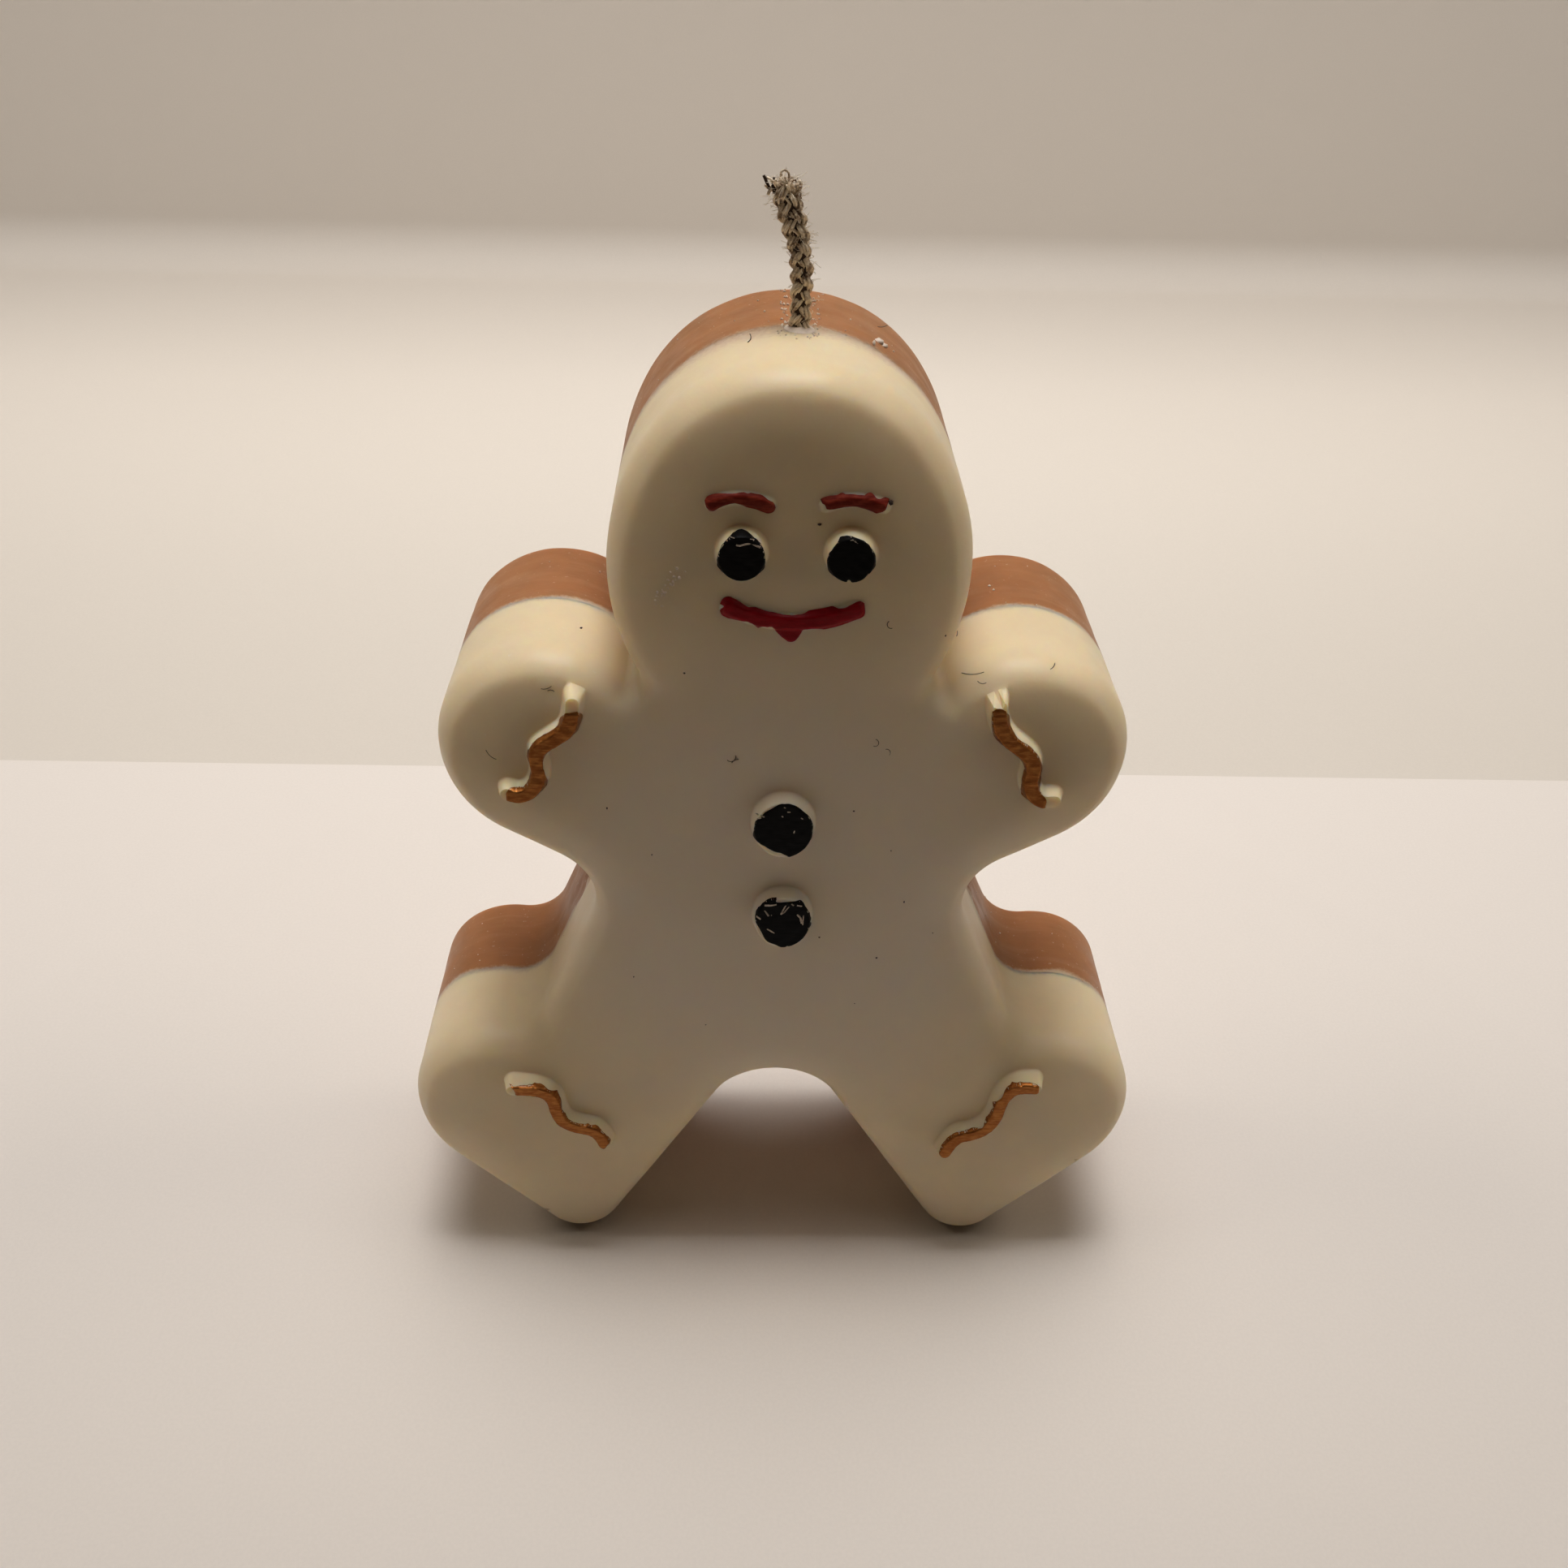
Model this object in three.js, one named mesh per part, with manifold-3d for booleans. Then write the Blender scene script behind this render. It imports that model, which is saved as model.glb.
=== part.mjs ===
import * as THREE from 'three';
import { mergeVertices } from 'three/addons/utils/BufferGeometryUtils.js';
import Module from 'manifold-3d';

// A cast wax candle in the shape of a gingerbread man, in millimetres.
// It stands on its heels at z = 0 and faces -Y. X = 0 is its plane of symmetry.
// It has a cream layer in front and a brown layer behind, which meet on one flat plane.
// The face, buttons and squiggles stand up from the cream face and carry thin coats of paint.

// ---- Driving dimensions ----

const THICKNESS = 19.6;          // front face to back face
const FRONT_LAYER = 10.5;        // depth of the cream layer
const FRONT_EDGE_RADIUS = 3.2;   // round of the front edge
const HEEL_FLAT_DEPTH = 0.12;    // how much of each round heel is worn flat
const ARC_STEP = 8;              // degrees from one outline point to the next

// The right half of the outline, walked from the crown to the heel. Each row turns
// on a radius through an angle and may then run straight on. A positive turn bulges
// out of the body and a negative one curls into it.
const HALF_OUTLINE = [
  { place: 'crown', radius: 11.78, turn: 57.0 },
  { place: 'cheek', radius: 17.02, turn: 61.0 },
  { place: 'neck', radius: 0.69, turn: -165.9 },
  { place: 'shoulder', radius: 7.88, turn: 132.1 },
  { place: 'hand', radius: 8.62, turn: 66.4, run: 4.45 },
  { place: 'armpit', radius: 5.26, turn: -84.5, run: 10.36 },
  { place: 'hip', radius: 3.85, turn: -72.4 },
  { place: 'instep', radius: 6.62, turn: 70.3 },
  { place: 'toe', radius: 8.73, turn: 70.3, run: 11.55 },
  { place: 'heel', radius: 4.11, turn: 104.5 },
];
const CROTCH_RADIUS = 5.53;

const RELIEF = 1.15;             // eyes, buttons and squiggles stand this far off the face
const LINE_RELIEF = 0.3;         // brows and mouth stand this far off it
const PAINT = 0.25;              // coat of paint on the raised parts
const PAINT_MARGIN = 0.12;       // bare rim round each coat
const ROOT = 1.2;                // how deep a raised part is rooted in the wax

// Raised parts: centres are [x, z]. The face sits a little to one side.
const FACE_X = 0.33;
const EYE = { x: 3.63, z: 67.95, halfWidth: 1.72, halfHeight: 1.8 };
const BUTTONS = [
  { name: 'button_upper', x: 0.0, z: 46.15, halfWidth: 2.33, halfHeight: 2.65 },
  { name: 'button_lower', x: 0.15, z: 37.52, halfWidth: 2.27, halfHeight: 2.58 },
];
const BROW = { x: 3.75, z: 71.35, halfChord: 1.85, rise: 0.4, width: 0.9 };
const MOUTH = { x: 0.2, z: 63.85, halfChord: 4.28, rise: -1.05, width: 1.2 };

// The squiggles' middle lines. The left and right ones are not quite mirror images.
const SQUIGGLE_WIDTH = 1.4;
const SQUIGGLES = {
  arm_squiggle_left: [
    [-15.0, 56.6], [-15.1, 55.7], [-15.5, 54.4], [-16.6, 53.5], [-17.6, 52.7], [-17.8, 51.8],
    [-17.7, 50.9], [-17.9, 49.9], [-18.5, 49.1], [-19.3, 48.8], [-20.1, 49.0],
  ],
  arm_squiggle_right: [
    [15.0, 56.8], [15.0, 55.9], [15.3, 54.9], [16.0, 54.0], [16.9, 53.3], [17.6, 52.6],
    [17.9, 51.7], [17.8, 50.6], [18.1, 49.6], [18.8, 49.0], [19.7, 49.0],
  ],
  leg_squiggle_left: [
    [-21.8, 19.5], [-20.9, 19.5], [-19.9, 19.4], [-19.0, 19.0], [-18.5, 18.2], [-18.3, 17.1],
    [-17.9, 16.0], [-17.2, 15.4], [-16.4, 15.1], [-15.4, 14.8], [-14.8, 14.2], [-14.4, 13.3],
  ],
  leg_squiggle_right: [
    [21.7, 20.1], [20.6, 20.1], [19.8, 19.8], [19.2, 19.0], [18.9, 17.9], [18.7, 16.8],
    [18.2, 15.7], [17.5, 15.0], [16.7, 14.6], [15.8, 14.3], [15.2, 13.6], [14.7, 12.5],
  ],
};

const WICK_RADIUS = 0.8;
const WICK_SEAT = 5.0;           // how far the wick is seated in the wax
const WICK_CLEARANCE = 0.3;
const WICK_X = 0.4;
const WICK_FORWARD = 0.6;        // how far in front of the layers' joint it stands
// Where the wick goes above the crown: [sideways, up].
const WICK_BENDS = [[0.03, 2.0], [0.02, 4.0], [-0.34, 6.0], [-0.92, 8.0], [-1.35, 9.6]];

// ---- Worked out from them ----

const DEPTH = THICKNESS + RELIEF + PAINT;
const BACK_Y = DEPTH / 2;
const FRONT_Y = BACK_Y - THICKNESS;
const LAYER_Y = FRONT_Y + FRONT_LAYER;
const WICK_Y = LAYER_Y - WICK_FORWARD;

const CREAM = { color: 0xe6dcc3, roughness: 0.5, metalness: 0 };
const BROWN = { color: 0xb87a50, roughness: 0.5, metalness: 0 };
const BLACK = { color: 0x14161c, roughness: 0.45, metalness: 0 };
const RED = { color: 0x9b1c20, roughness: 0.4, metalness: 0 };
const RUST = { color: 0x93401f, roughness: 0.5, metalness: 0 };
const GOLD = { color: 0x9a6a26, roughness: 0.4, metalness: 0.5 };
const COTTON = { color: 0xa89680, roughness: 0.9, metalness: 0 };

const wasm = await Module();
wasm.setup();

const radians = (degrees) => degrees * Math.PI / 180;
const normalAt = (heading) => new THREE.Vector2(-Math.sin(radians(heading)), Math.cos(radians(heading)));
const alongAt = (heading) => new THREE.Vector2(Math.cos(radians(heading)), Math.sin(radians(heading)));

// ---- The body's outline ----

// Walks one turn and adds its points, drawn inside the true outline by `inset`.
function walkTurn(points, from, heading, row, inset) {
  const bend = Math.sign(row.turn) * row.radius;
  const centre = from.clone().addScaledVector(normalAt(heading), -bend);
  const steps = Math.max(2, Math.round(Math.abs(row.turn) / ARC_STEP));
  for (let i = 1; i <= steps; i++) {
    const normal = normalAt(heading - row.turn * i / steps);
    points.push(centre.clone().addScaledVector(normal, bend - inset));
  }
  return centre.addScaledVector(normalAt(heading - row.turn), bend);
}

// The right half of the outline from the crown to the crotch, with the crown at z = 0.
function halfOutline(inset) {
  const points = [new THREE.Vector2(0, -inset)];
  let at = new THREE.Vector2(0, 0);
  let heading = 0;
  for (const row of HALF_OUTLINE) {
    at = walkTurn(points, at, heading, row, inset);
    heading -= row.turn;
    if (row.run) {
      at.addScaledVector(alongAt(heading), row.run);
      points.push(at.clone().addScaledVector(normalAt(heading), -inset));
    }
  }
  // The inner leg runs straight until the crotch's arc can meet the middle.
  const slope = alongAt(heading);
  at.addScaledVector(slope, (at.x - CROTCH_RADIUS * slope.y) / -slope.x);
  points.push(at.clone().addScaledVector(normalAt(heading), -inset));
  walkTurn(points, at, heading, { radius: CROTCH_RADIUS, turn: heading + 180 }, inset);
  return points;
}

const lowest = Math.min(...halfOutline(0).map((p) => p.y));

// The closed outline, clockwise from the crown, standing on its worn heels.
function outline(inset) {
  const stand = (z) => Math.max(0, z - lowest - HEEL_FLAT_DEPTH);
  const right = halfOutline(inset).map((p) => new THREE.Vector2(p.x, stand(p.y)));
  const left = right.slice(1, -1).reverse().map((p) => new THREE.Vector2(-p.x, p.y));
  return [...right, ...left];
}

const TOP_Z = -lowest - HEEL_FLAT_DEPTH;

// ---- Turning outlines into solids ----

// A solid skinned over rings of equally many points, each ring flat at its own y.
function skinRings(rings) {
  const count = rings[0].points.length;
  const positions = [];
  for (const ring of rings) {
    for (const p of ring.points) positions.push(p.x, ring.y, p.y);
  }
  const faces = [];
  for (let r = 0; r + 1 < rings.length; r++) {
    for (let i = 0; i < count; i++) {
      const a = r * count + i;
      const b = r * count + (i + 1) % count;
      faces.push(a, b, b + count, a, b + count, a + count);
    }
  }
  const last = (rings.length - 1) * count;
  for (const [a, b, c] of cap(rings[0].points)) faces.push(c, b, a);
  for (const [a, b, c] of cap(rings[rings.length - 1].points)) faces.push(last + a, last + b, last + c);
  const geometry = new THREE.BufferGeometry();
  geometry.setAttribute('position', new THREE.Float32BufferAttribute(positions, 3));
  geometry.setIndex(faces);
  return outward(geometry);
}

// Triangles that fill a ring, all turned the same way as the ring runs clockwise.
function cap(points) {
  return THREE.ShapeUtils.triangulateShape(points, []).map(([a, b, c]) => {
    const twice = (points[b].x - points[a].x) * (points[c].y - points[a].y)
      - (points[c].x - points[a].x) * (points[b].y - points[a].y);
    return twice > 0 ? [a, c, b] : [a, b, c];
  });
}

function signedVolume(geometry) {
  const at = geometry.getAttribute('position');
  const index = geometry.getIndex().array;
  const [a, b, c] = [new THREE.Vector3(), new THREE.Vector3(), new THREE.Vector3()];
  let volume = 0;
  for (let i = 0; i < index.length; i += 3) {
    a.fromBufferAttribute(at, index[i]);
    b.fromBufferAttribute(at, index[i + 1]);
    c.fromBufferAttribute(at, index[i + 2]);
    volume += a.dot(b.cross(c)) / 6;
  }
  return volume;
}

// Turns every face over if the faces point inward.
function outward(geometry) {
  if (signedVolume(geometry) < 0) {
    const index = geometry.getIndex().array;
    for (let i = 0; i < index.length; i += 3) [index[i], index[i + 1]] = [index[i + 1], index[i]];
  }
  return geometry;
}

function toManifold(geometry) {
  const bare = geometry.clone();
  bare.deleteAttribute('normal');
  bare.deleteAttribute('uv');
  const merged = mergeVertices(bare, 1e-5);
  return new wasm.Manifold(new wasm.Mesh({
    numProp: 3,
    vertProperties: new Float32Array(merged.getAttribute('position').array),
    triVerts: new Uint32Array(merged.getIndex().array),
  }));
}

function fromManifold(solid) {
  const mesh = solid.getMesh();
  const geometry = new THREE.BufferGeometry();
  geometry.setAttribute('position', new THREE.Float32BufferAttribute(mesh.vertProperties, 3));
  geometry.setIndex(Array.from(mesh.triVerts));
  return geometry;
}

// A flat shape in x and z, raised towards the viewer from y = `from` by `height`.
function raise(points, from, height) {
  const geometry = new THREE.ExtrudeGeometry(new THREE.Shape(points), { depth: height, bevelEnabled: false });
  geometry.rotateX(Math.PI / 2);
  geometry.translate(0, from, 0);
  return geometry;
}

// ---- Shapes of the raised parts ----

function oval(x, z, halfWidth, halfHeight) {
  const sides = 32;
  return Array.from({ length: sides }, (_, i) => {
    const turn = 2 * Math.PI * i / sides;
    return new THREE.Vector2(x + halfWidth * Math.cos(turn), z + halfHeight * Math.sin(turn));
  });
}

// The outline of a line of even width with round ends, drawn along `curve`.
function stroke(curve, width, steps) {
  const half = width / 2;
  const [sideA, sideB] = [[], []];
  for (let i = 0; i <= steps; i++) {
    const at = curve.getPointAt(i / steps);
    const along = curve.getTangentAt(i / steps);
    const side = new THREE.Vector2(-along.y, along.x);
    sideA.push(at.clone().addScaledVector(side, half));
    sideB.push(at.clone().addScaledVector(side, -half));
  }
  return [...sideA, ...roundEnd(curve, 1, half), ...sideB.reverse(), ...roundEnd(curve, 0, half)];
}

// The points of a half circle round one end of a line, without its two corners.
function roundEnd(curve, end, half) {
  const centre = curve.getPointAt(end);
  const along = curve.getTangentAt(end);
  const start = Math.atan2(along.x, -along.y) + (end ? 0 : Math.PI);
  const sides = 6;
  return Array.from({ length: sides - 1 }, (_, i) => {
    const turn = start - Math.PI * (i + 1) / sides;
    return new THREE.Vector2(centre.x + half * Math.cos(turn), centre.y + half * Math.sin(turn));
  });
}

// A shallow arc over a chord from side to side: a positive rise arches up.
function arcLine(x, z, halfChord, rise) {
  const radius = (halfChord ** 2 + rise ** 2) / (2 * Math.abs(rise));
  const half = Math.asin(halfChord / radius);
  const up = Math.sign(rise);
  const middle = up > 0 ? Math.PI / 2 : -Math.PI / 2;
  const [start, end] = [middle + up * half, middle - up * half];
  return new THREE.EllipseCurve(x, z + rise - up * radius, radius, radius, start, end, up > 0);
}

function splineThrough(points) {
  return new THREE.SplineCurve(points.map(([x, z]) => new THREE.Vector2(x, z)));
}

// Every raised part: its outline at a given inset from the bare relief, and its paint.
function raisedParts() {
  const parts = [];
  for (const [side, hand] of [[-1, 'left'], [1, 'right']]) {
    parts.push({
      name: `eye_${hand}`, paint: BLACK, relief: RELIEF,
      shape: (inset) => oval(FACE_X + side * EYE.x, EYE.z, EYE.halfWidth - inset, EYE.halfHeight - inset),
    });
    const brow = arcLine(FACE_X + side * BROW.x, BROW.z, BROW.halfChord, BROW.rise);
    parts.push({
      name: `brow_${hand}`, paint: RUST, relief: LINE_RELIEF,
      shape: (inset) => stroke(brow, BROW.width - 2 * inset, 8),
    });
  }
  for (const [name, points] of Object.entries(SQUIGGLES)) {
    parts.push({
      name, paint: GOLD, relief: RELIEF,
      shape: (inset) => stroke(splineThrough(points), SQUIGGLE_WIDTH - 2 * inset, 28),
    });
  }
  const mouth = arcLine(MOUTH.x, MOUTH.z, MOUTH.halfChord, MOUTH.rise);
  parts.push({
    name: 'mouth', paint: RED, relief: LINE_RELIEF,
    shape: (inset) => stroke(mouth, MOUTH.width - 2 * inset, 14),
  });
  for (const button of BUTTONS) {
    parts.push({
      name: button.name, paint: BLACK, relief: RELIEF,
      shape: (inset) => oval(button.x, button.z, button.halfWidth - inset, button.halfHeight - inset),
    });
  }
  return parts;
}

// ---- The candle's pieces ----

function wickSocket() {
  const length = 2 * WICK_SEAT;
  const radius = WICK_RADIUS + WICK_CLEARANCE;
  const hole = new THREE.CylinderGeometry(radius, radius, length, 24);
  hole.rotateX(Math.PI / 2);
  hole.translate(WICK_X, WICK_Y, TOP_Z - WICK_SEAT + length / 2);
  return toManifold(hole);
}

// The cream layer: its front edge is a quarter round, and the raised parts grow out of it.
function frontWax(parts) {
  const rings = [];
  const steps = 5;
  for (let i = 0; i <= steps; i++) {
    const turn = (Math.PI / 2) * i / steps;
    rings.push({
      y: FRONT_Y + FRONT_EDGE_RADIUS * (1 - Math.cos(turn)),
      points: outline(FRONT_EDGE_RADIUS * (1 - Math.sin(turn))),
    });
  }
  rings.push({ y: LAYER_Y, points: outline(0) });
  let solid = toManifold(skinRings(rings));
  for (const part of parts) {
    solid = solid.add(toManifold(raise(part.shape(0), FRONT_Y + ROOT, ROOT + part.relief)));
  }
  return fromManifold(solid.subtract(wickSocket()));
}

function backWax() {
  const block = skinRings([{ y: LAYER_Y, points: outline(0) }, { y: BACK_Y, points: outline(0) }]);
  return fromManifold(toManifold(block).subtract(wickSocket()));
}

function wick() {
  const path = new THREE.CatmullRomCurve3([
    new THREE.Vector3(WICK_X, WICK_Y, TOP_Z - WICK_SEAT),
    new THREE.Vector3(WICK_X, WICK_Y, TOP_Z - WICK_SEAT / 2),
    new THREE.Vector3(WICK_X, WICK_Y, TOP_Z),
    ...WICK_BENDS.map(([across, up]) => new THREE.Vector3(WICK_X + across, WICK_Y, TOP_Z + up)),
  ]);
  const section = new THREE.Shape(oval(0, 0, WICK_RADIUS, WICK_RADIUS).filter((_, i) => i % 3 === 0));
  return new THREE.ExtrudeGeometry(section, { steps: 24, extrudePath: path });
}

function piece(name, geometry, look) {
  const mesh = new THREE.Mesh(geometry, new THREE.MeshStandardMaterial(look));
  mesh.name = name;
  return mesh;
}

const parts = raisedParts();
const group = new THREE.Group();
group.add(piece('front_wax', frontWax(parts), CREAM));
group.add(piece('back_wax', backWax(), BROWN));
group.add(piece('wick', wick(), COTTON));
for (const part of parts) {
  group.add(piece(part.name, raise(part.shape(PAINT_MARGIN), FRONT_Y - part.relief, PAINT), part.paint));
}

export default group;
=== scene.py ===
import math
import random

import bmesh
import bpy
import numpy as np
from mathutils import Matrix, Vector, noise
from mathutils.geometry import delaunay_2d_cdt


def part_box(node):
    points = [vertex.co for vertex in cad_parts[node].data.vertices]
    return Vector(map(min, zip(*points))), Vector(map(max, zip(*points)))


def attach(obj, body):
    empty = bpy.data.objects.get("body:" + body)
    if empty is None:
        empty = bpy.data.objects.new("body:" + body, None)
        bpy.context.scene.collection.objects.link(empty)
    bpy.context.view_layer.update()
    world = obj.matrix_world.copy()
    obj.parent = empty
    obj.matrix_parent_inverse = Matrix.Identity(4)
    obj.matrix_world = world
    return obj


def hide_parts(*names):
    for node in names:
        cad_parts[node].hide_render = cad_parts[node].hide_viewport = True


# A cast wax candle in the shape of a gingerbread man, which stands on its heels and faces -Y.
# All shapes are worked out in millimetres and turned into metres when a mesh is made.

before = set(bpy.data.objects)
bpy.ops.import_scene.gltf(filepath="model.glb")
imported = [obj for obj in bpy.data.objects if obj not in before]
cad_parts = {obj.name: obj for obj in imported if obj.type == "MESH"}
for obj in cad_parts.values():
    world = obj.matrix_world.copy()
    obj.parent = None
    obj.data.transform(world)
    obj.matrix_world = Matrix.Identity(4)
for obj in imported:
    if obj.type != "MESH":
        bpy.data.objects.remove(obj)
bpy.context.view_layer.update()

MM = 0.001


def box_mm(node):
    low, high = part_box(node)
    return np.array(low) / MM, np.array(high) / MM


# ---- Sizes ----

# The right half of the outline, from crown to heel: radius, turn in degrees, straight run.
# A positive turn bulges out of the body and a negative one curls into it.
HALF_OUTLINE = (
    (11.78, 57.0, 0.0),     # crown
    (17.02, 61.0, 0.0),     # cheek
    (0.69, -165.9, 0.0),    # neck
    (7.88, 132.1, 0.0),     # shoulder
    (8.62, 66.4, 4.45),     # hand
    (5.26, -84.5, 10.36),   # armpit and flank
    (3.85, -72.4, 0.0),     # hip
    (6.62, 70.3, 0.0),      # instep
    (8.73, 70.3, 11.55),    # toe and sole
    (4.11, 104.5, 0.0),     # heel
)
CROTCH_RADIUS = 5.53
HEEL_FLAT_DEPTH = 0.12
THICKNESS = 19.6

EDGE_RADIUS = 3.4           # the front edge's round, from the sides to a soft crease
SPLIT_TURN = 38.0           # the crease faces this many degrees off -Y, and the face's own mesh ends there
CREASE_IN = EDGE_RADIUS * (1 - math.sin(math.radians(SPLIT_TURN)))
CREASE_DROP = EDGE_RADIUS * math.cos(math.radians(SPLIT_TURN))
DOME_IN = 5.2               # the face domes down to the crease from this far inside the outline
DOME_DEPTH = 0.75
OUTLINE_STEP = 0.34
FACE_STEP = 0.5

LAYER_Y = float(box_mm("back_wax")[0][1])
BACK_Y = float(box_mm("back_wax")[1][1])
FRONT_Y = BACK_Y - THICKNESS
TOP_Z = float(box_mm("back_wax")[1][2])

RELIEF = 1.15               # eyes, buttons and squiggles
LINE_RELIEF = 0.3           # brows and mouth
WALL_OUT = 0.15             # the foot of a raised part's wall spreads this far out
WALL_IN = 0.26              # and its top is rounded over this far in
PAINT = 0.07                # thickness of the brushed paint
DRAPE = 0.2                 # how far down a raised part's walls the paint may run

FACE_X = 0.33
EYE = {"x": 3.63, "z": 67.95, "half_width": 1.72, "half_height": 1.8}
BROW = {"x": 3.75, "z": 71.35, "half_chord": 1.85, "rise": 0.4, "width": 0.9}
MOUTH = {"x": 0.2, "z": 63.85, "half_chord": 4.28, "rise": -1.05, "width": 1.2}
BUTTONS = {
    "button_upper": {"x": 0.0, "z": 46.15, "half_width": 2.33, "half_height": 2.65},
    "button_lower": {"x": 0.15, "z": 37.52, "half_width": 2.27, "half_height": 2.58},
}
SQUIGGLE_WIDTH = 1.4
SQUIGGLES = {
    "arm_squiggle_left": (
        (-15.0, 56.6), (-15.1, 55.7), (-15.5, 54.4), (-16.6, 53.5), (-17.6, 52.7), (-17.8, 51.8),
        (-17.7, 50.9), (-17.9, 49.9), (-18.5, 49.1), (-19.3, 48.8), (-20.1, 49.0)),
    "arm_squiggle_right": (
        (15.0, 56.8), (15.0, 55.9), (15.3, 54.9), (16.0, 54.0), (16.9, 53.3), (17.6, 52.6),
        (17.9, 51.7), (17.8, 50.6), (18.1, 49.6), (18.8, 49.0), (19.7, 49.0)),
    "leg_squiggle_left": (
        (-21.8, 19.5), (-20.9, 19.5), (-19.9, 19.4), (-19.0, 19.0), (-18.5, 18.2), (-18.3, 17.1),
        (-17.9, 16.0), (-17.2, 15.4), (-16.4, 15.1), (-15.4, 14.8), (-14.8, 14.2), (-14.4, 13.3)),
    "leg_squiggle_right": (
        (21.7, 20.1), (20.6, 20.1), (19.8, 19.8), (19.2, 19.0), (18.9, 17.9), (18.7, 16.8),
        (18.2, 15.7), (17.5, 15.0), (16.7, 14.6), (15.8, 14.3), (15.2, 13.6), (14.7, 12.5)),
}

WICK_X = 0.4
WICK_Y = LAYER_Y - 0.6
WICK_BENDS = ((0.03, 2.0), (0.02, 4.0), (-0.34, 6.0), (-0.92, 8.0), (-1.35, 9.6))

# The camera: millimetres, degrees, and the width of the picture in pixels.
LENS, SENSOR, IMAGE = 35.4, 36.0, 1932
CAMERA_AT = np.array([-2.927, -103.188, 111.375])
YAW, PITCH, ROLL = -1.77, -33.31, 1.72
PIXELS_PER_MM = 18.2        # on the face
WICK_PIXELS_PER_MM = 17.6   # on the wick

# ---- Small maths ----

TINY = 1e-12                # keeps a division off zero
NOISE_GAIN = 1.6            # brings the noise to about -1 to 1
ROWS_AT_ONCE = 2000
TRIANGLE_HEIGHT = 0.866     # of one with sides of 1
JITTER = 0.12               # as a share of the grid's step
RIM_MARGIN = 0.6            # the grid keeps this share of its step off the rim
FILL_EPSILON = 1e-6


def unit(v):
    return v / np.maximum(np.linalg.norm(v, axis=-1, keepdims=True), TINY)


def smooth(x):
    x = np.clip(x, 0.0, 1.0)
    return x * x * (3.0 - 2.0 * x)


def upright(flat, y):
    """3-D points from rows of [x, z], with one y for all or one for each."""
    return np.stack([flat[:, 0], np.broadcast_to(y, len(flat)), flat[:, 1]], 1)


def noise_at(points, scale, seed):
    """Smooth noise from about -1 to 1 at each 3-D point, with features about `scale` across."""
    shift = np.array([seed * 17.3, seed * 5.1, seed * 9.7])
    return np.array([noise.noise(Vector(p)) for p in points / scale + shift]) * NOISE_GAIN


def signed_distance(polygon, points):
    """Distance from each point to the polygon's edge, positive inside."""
    start = polygon
    edge = np.roll(polygon, -1, axis=0) - start
    length2 = np.maximum((edge ** 2).sum(1), TINY)
    result = np.empty(len(points))
    for i in range(0, len(points), ROWS_AT_ONCE):
        rows = points[i:i + ROWS_AT_ONCE]
        away = rows[:, None, :] - start[None]
        t = np.clip((away * edge).sum(-1) / length2, 0.0, 1.0)
        near = np.sqrt(((away - t[..., None] * edge) ** 2).sum(-1)).min(1)
        x, y = rows[:, 0:1], rows[:, 1:2]
        ends = start + edge
        spans = (start[None, :, 1] > y) != (ends[None, :, 1] > y)
        rise = np.where(np.abs(edge[:, 1]) < TINY, TINY, edge[:, 1])
        crossing = start[None, :, 0] + (y - start[None, :, 1]) * edge[None, :, 0] / rise
        inside = (spans & (x < crossing)).sum(1) % 2 == 1
        result[i:i + ROWS_AT_ONCE] = np.where(inside, near, -near)
    return result


def grid_inside(polygon, step, seed=1):
    """A jittered triangular grid of points inside the polygon, a little off its rim."""
    rng = np.random.default_rng(seed)
    low, high = polygon.min(0), polygon.max(0)
    rows = np.arange(low[1], high[1], step * TRIANGLE_HEIGHT)
    points = []
    for r, z in enumerate(rows):
        xs = np.arange(low[0] + (r % 2) * step / 2, high[0], step)
        points.append(np.stack([xs, np.full(len(xs), z)], 1))
    points = np.concatenate(points)
    points += rng.uniform(-JITTER, JITTER, points.shape) * step
    return points[signed_distance(polygon, points) > step * RIM_MARGIN]


def fill(boundary, inner):
    """Triangles over a polygon and the points in it."""
    points = np.concatenate([boundary, inner]) if len(inner) else boundary
    count = len(boundary)
    edges = [(i, (i + 1) % count) for i in range(count)]
    out = delaunay_2d_cdt([Vector(p) for p in points], edges, [], 0, FILL_EPSILON, False)
    flat = np.array([tuple(p) for p in out[0]])
    triangles = np.array([tuple(f) for f in out[2]])
    inside = signed_distance(boundary, flat[triangles].mean(1)) > 0
    return flat, [tuple(int(i) for i in f) for f in triangles[inside]]


def spline(points, count, steps=40):
    """Evenly spaced points on a smooth curve through the given ones."""
    p = np.array(points, float)
    p = np.concatenate([[2 * p[0] - p[1]], p, [2 * p[-1] - p[-2]]])
    fine = []
    for i in range(1, len(p) - 2):
        for t in np.linspace(0.0, 1.0, steps, endpoint=False):
            fine.append(0.5 * (2 * p[i] + (p[i + 1] - p[i - 1]) * t
                               + (2 * p[i - 1] - 5 * p[i] + 4 * p[i + 1] - p[i + 2]) * t ** 2
                               + (3 * p[i] - p[i - 1] - 3 * p[i + 1] + p[i + 2]) * t ** 3))
    fine = np.array(fine + [p[-2]])
    return resample(fine, count)


def resample(line, count):
    along = np.concatenate([[0.0], np.cumsum(np.linalg.norm(np.diff(line, axis=0), axis=1))])
    at = np.linspace(0.0, along[-1], count)
    return np.stack([np.interp(at, along, line[:, k]) for k in range(line.shape[1])], 1)


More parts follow.
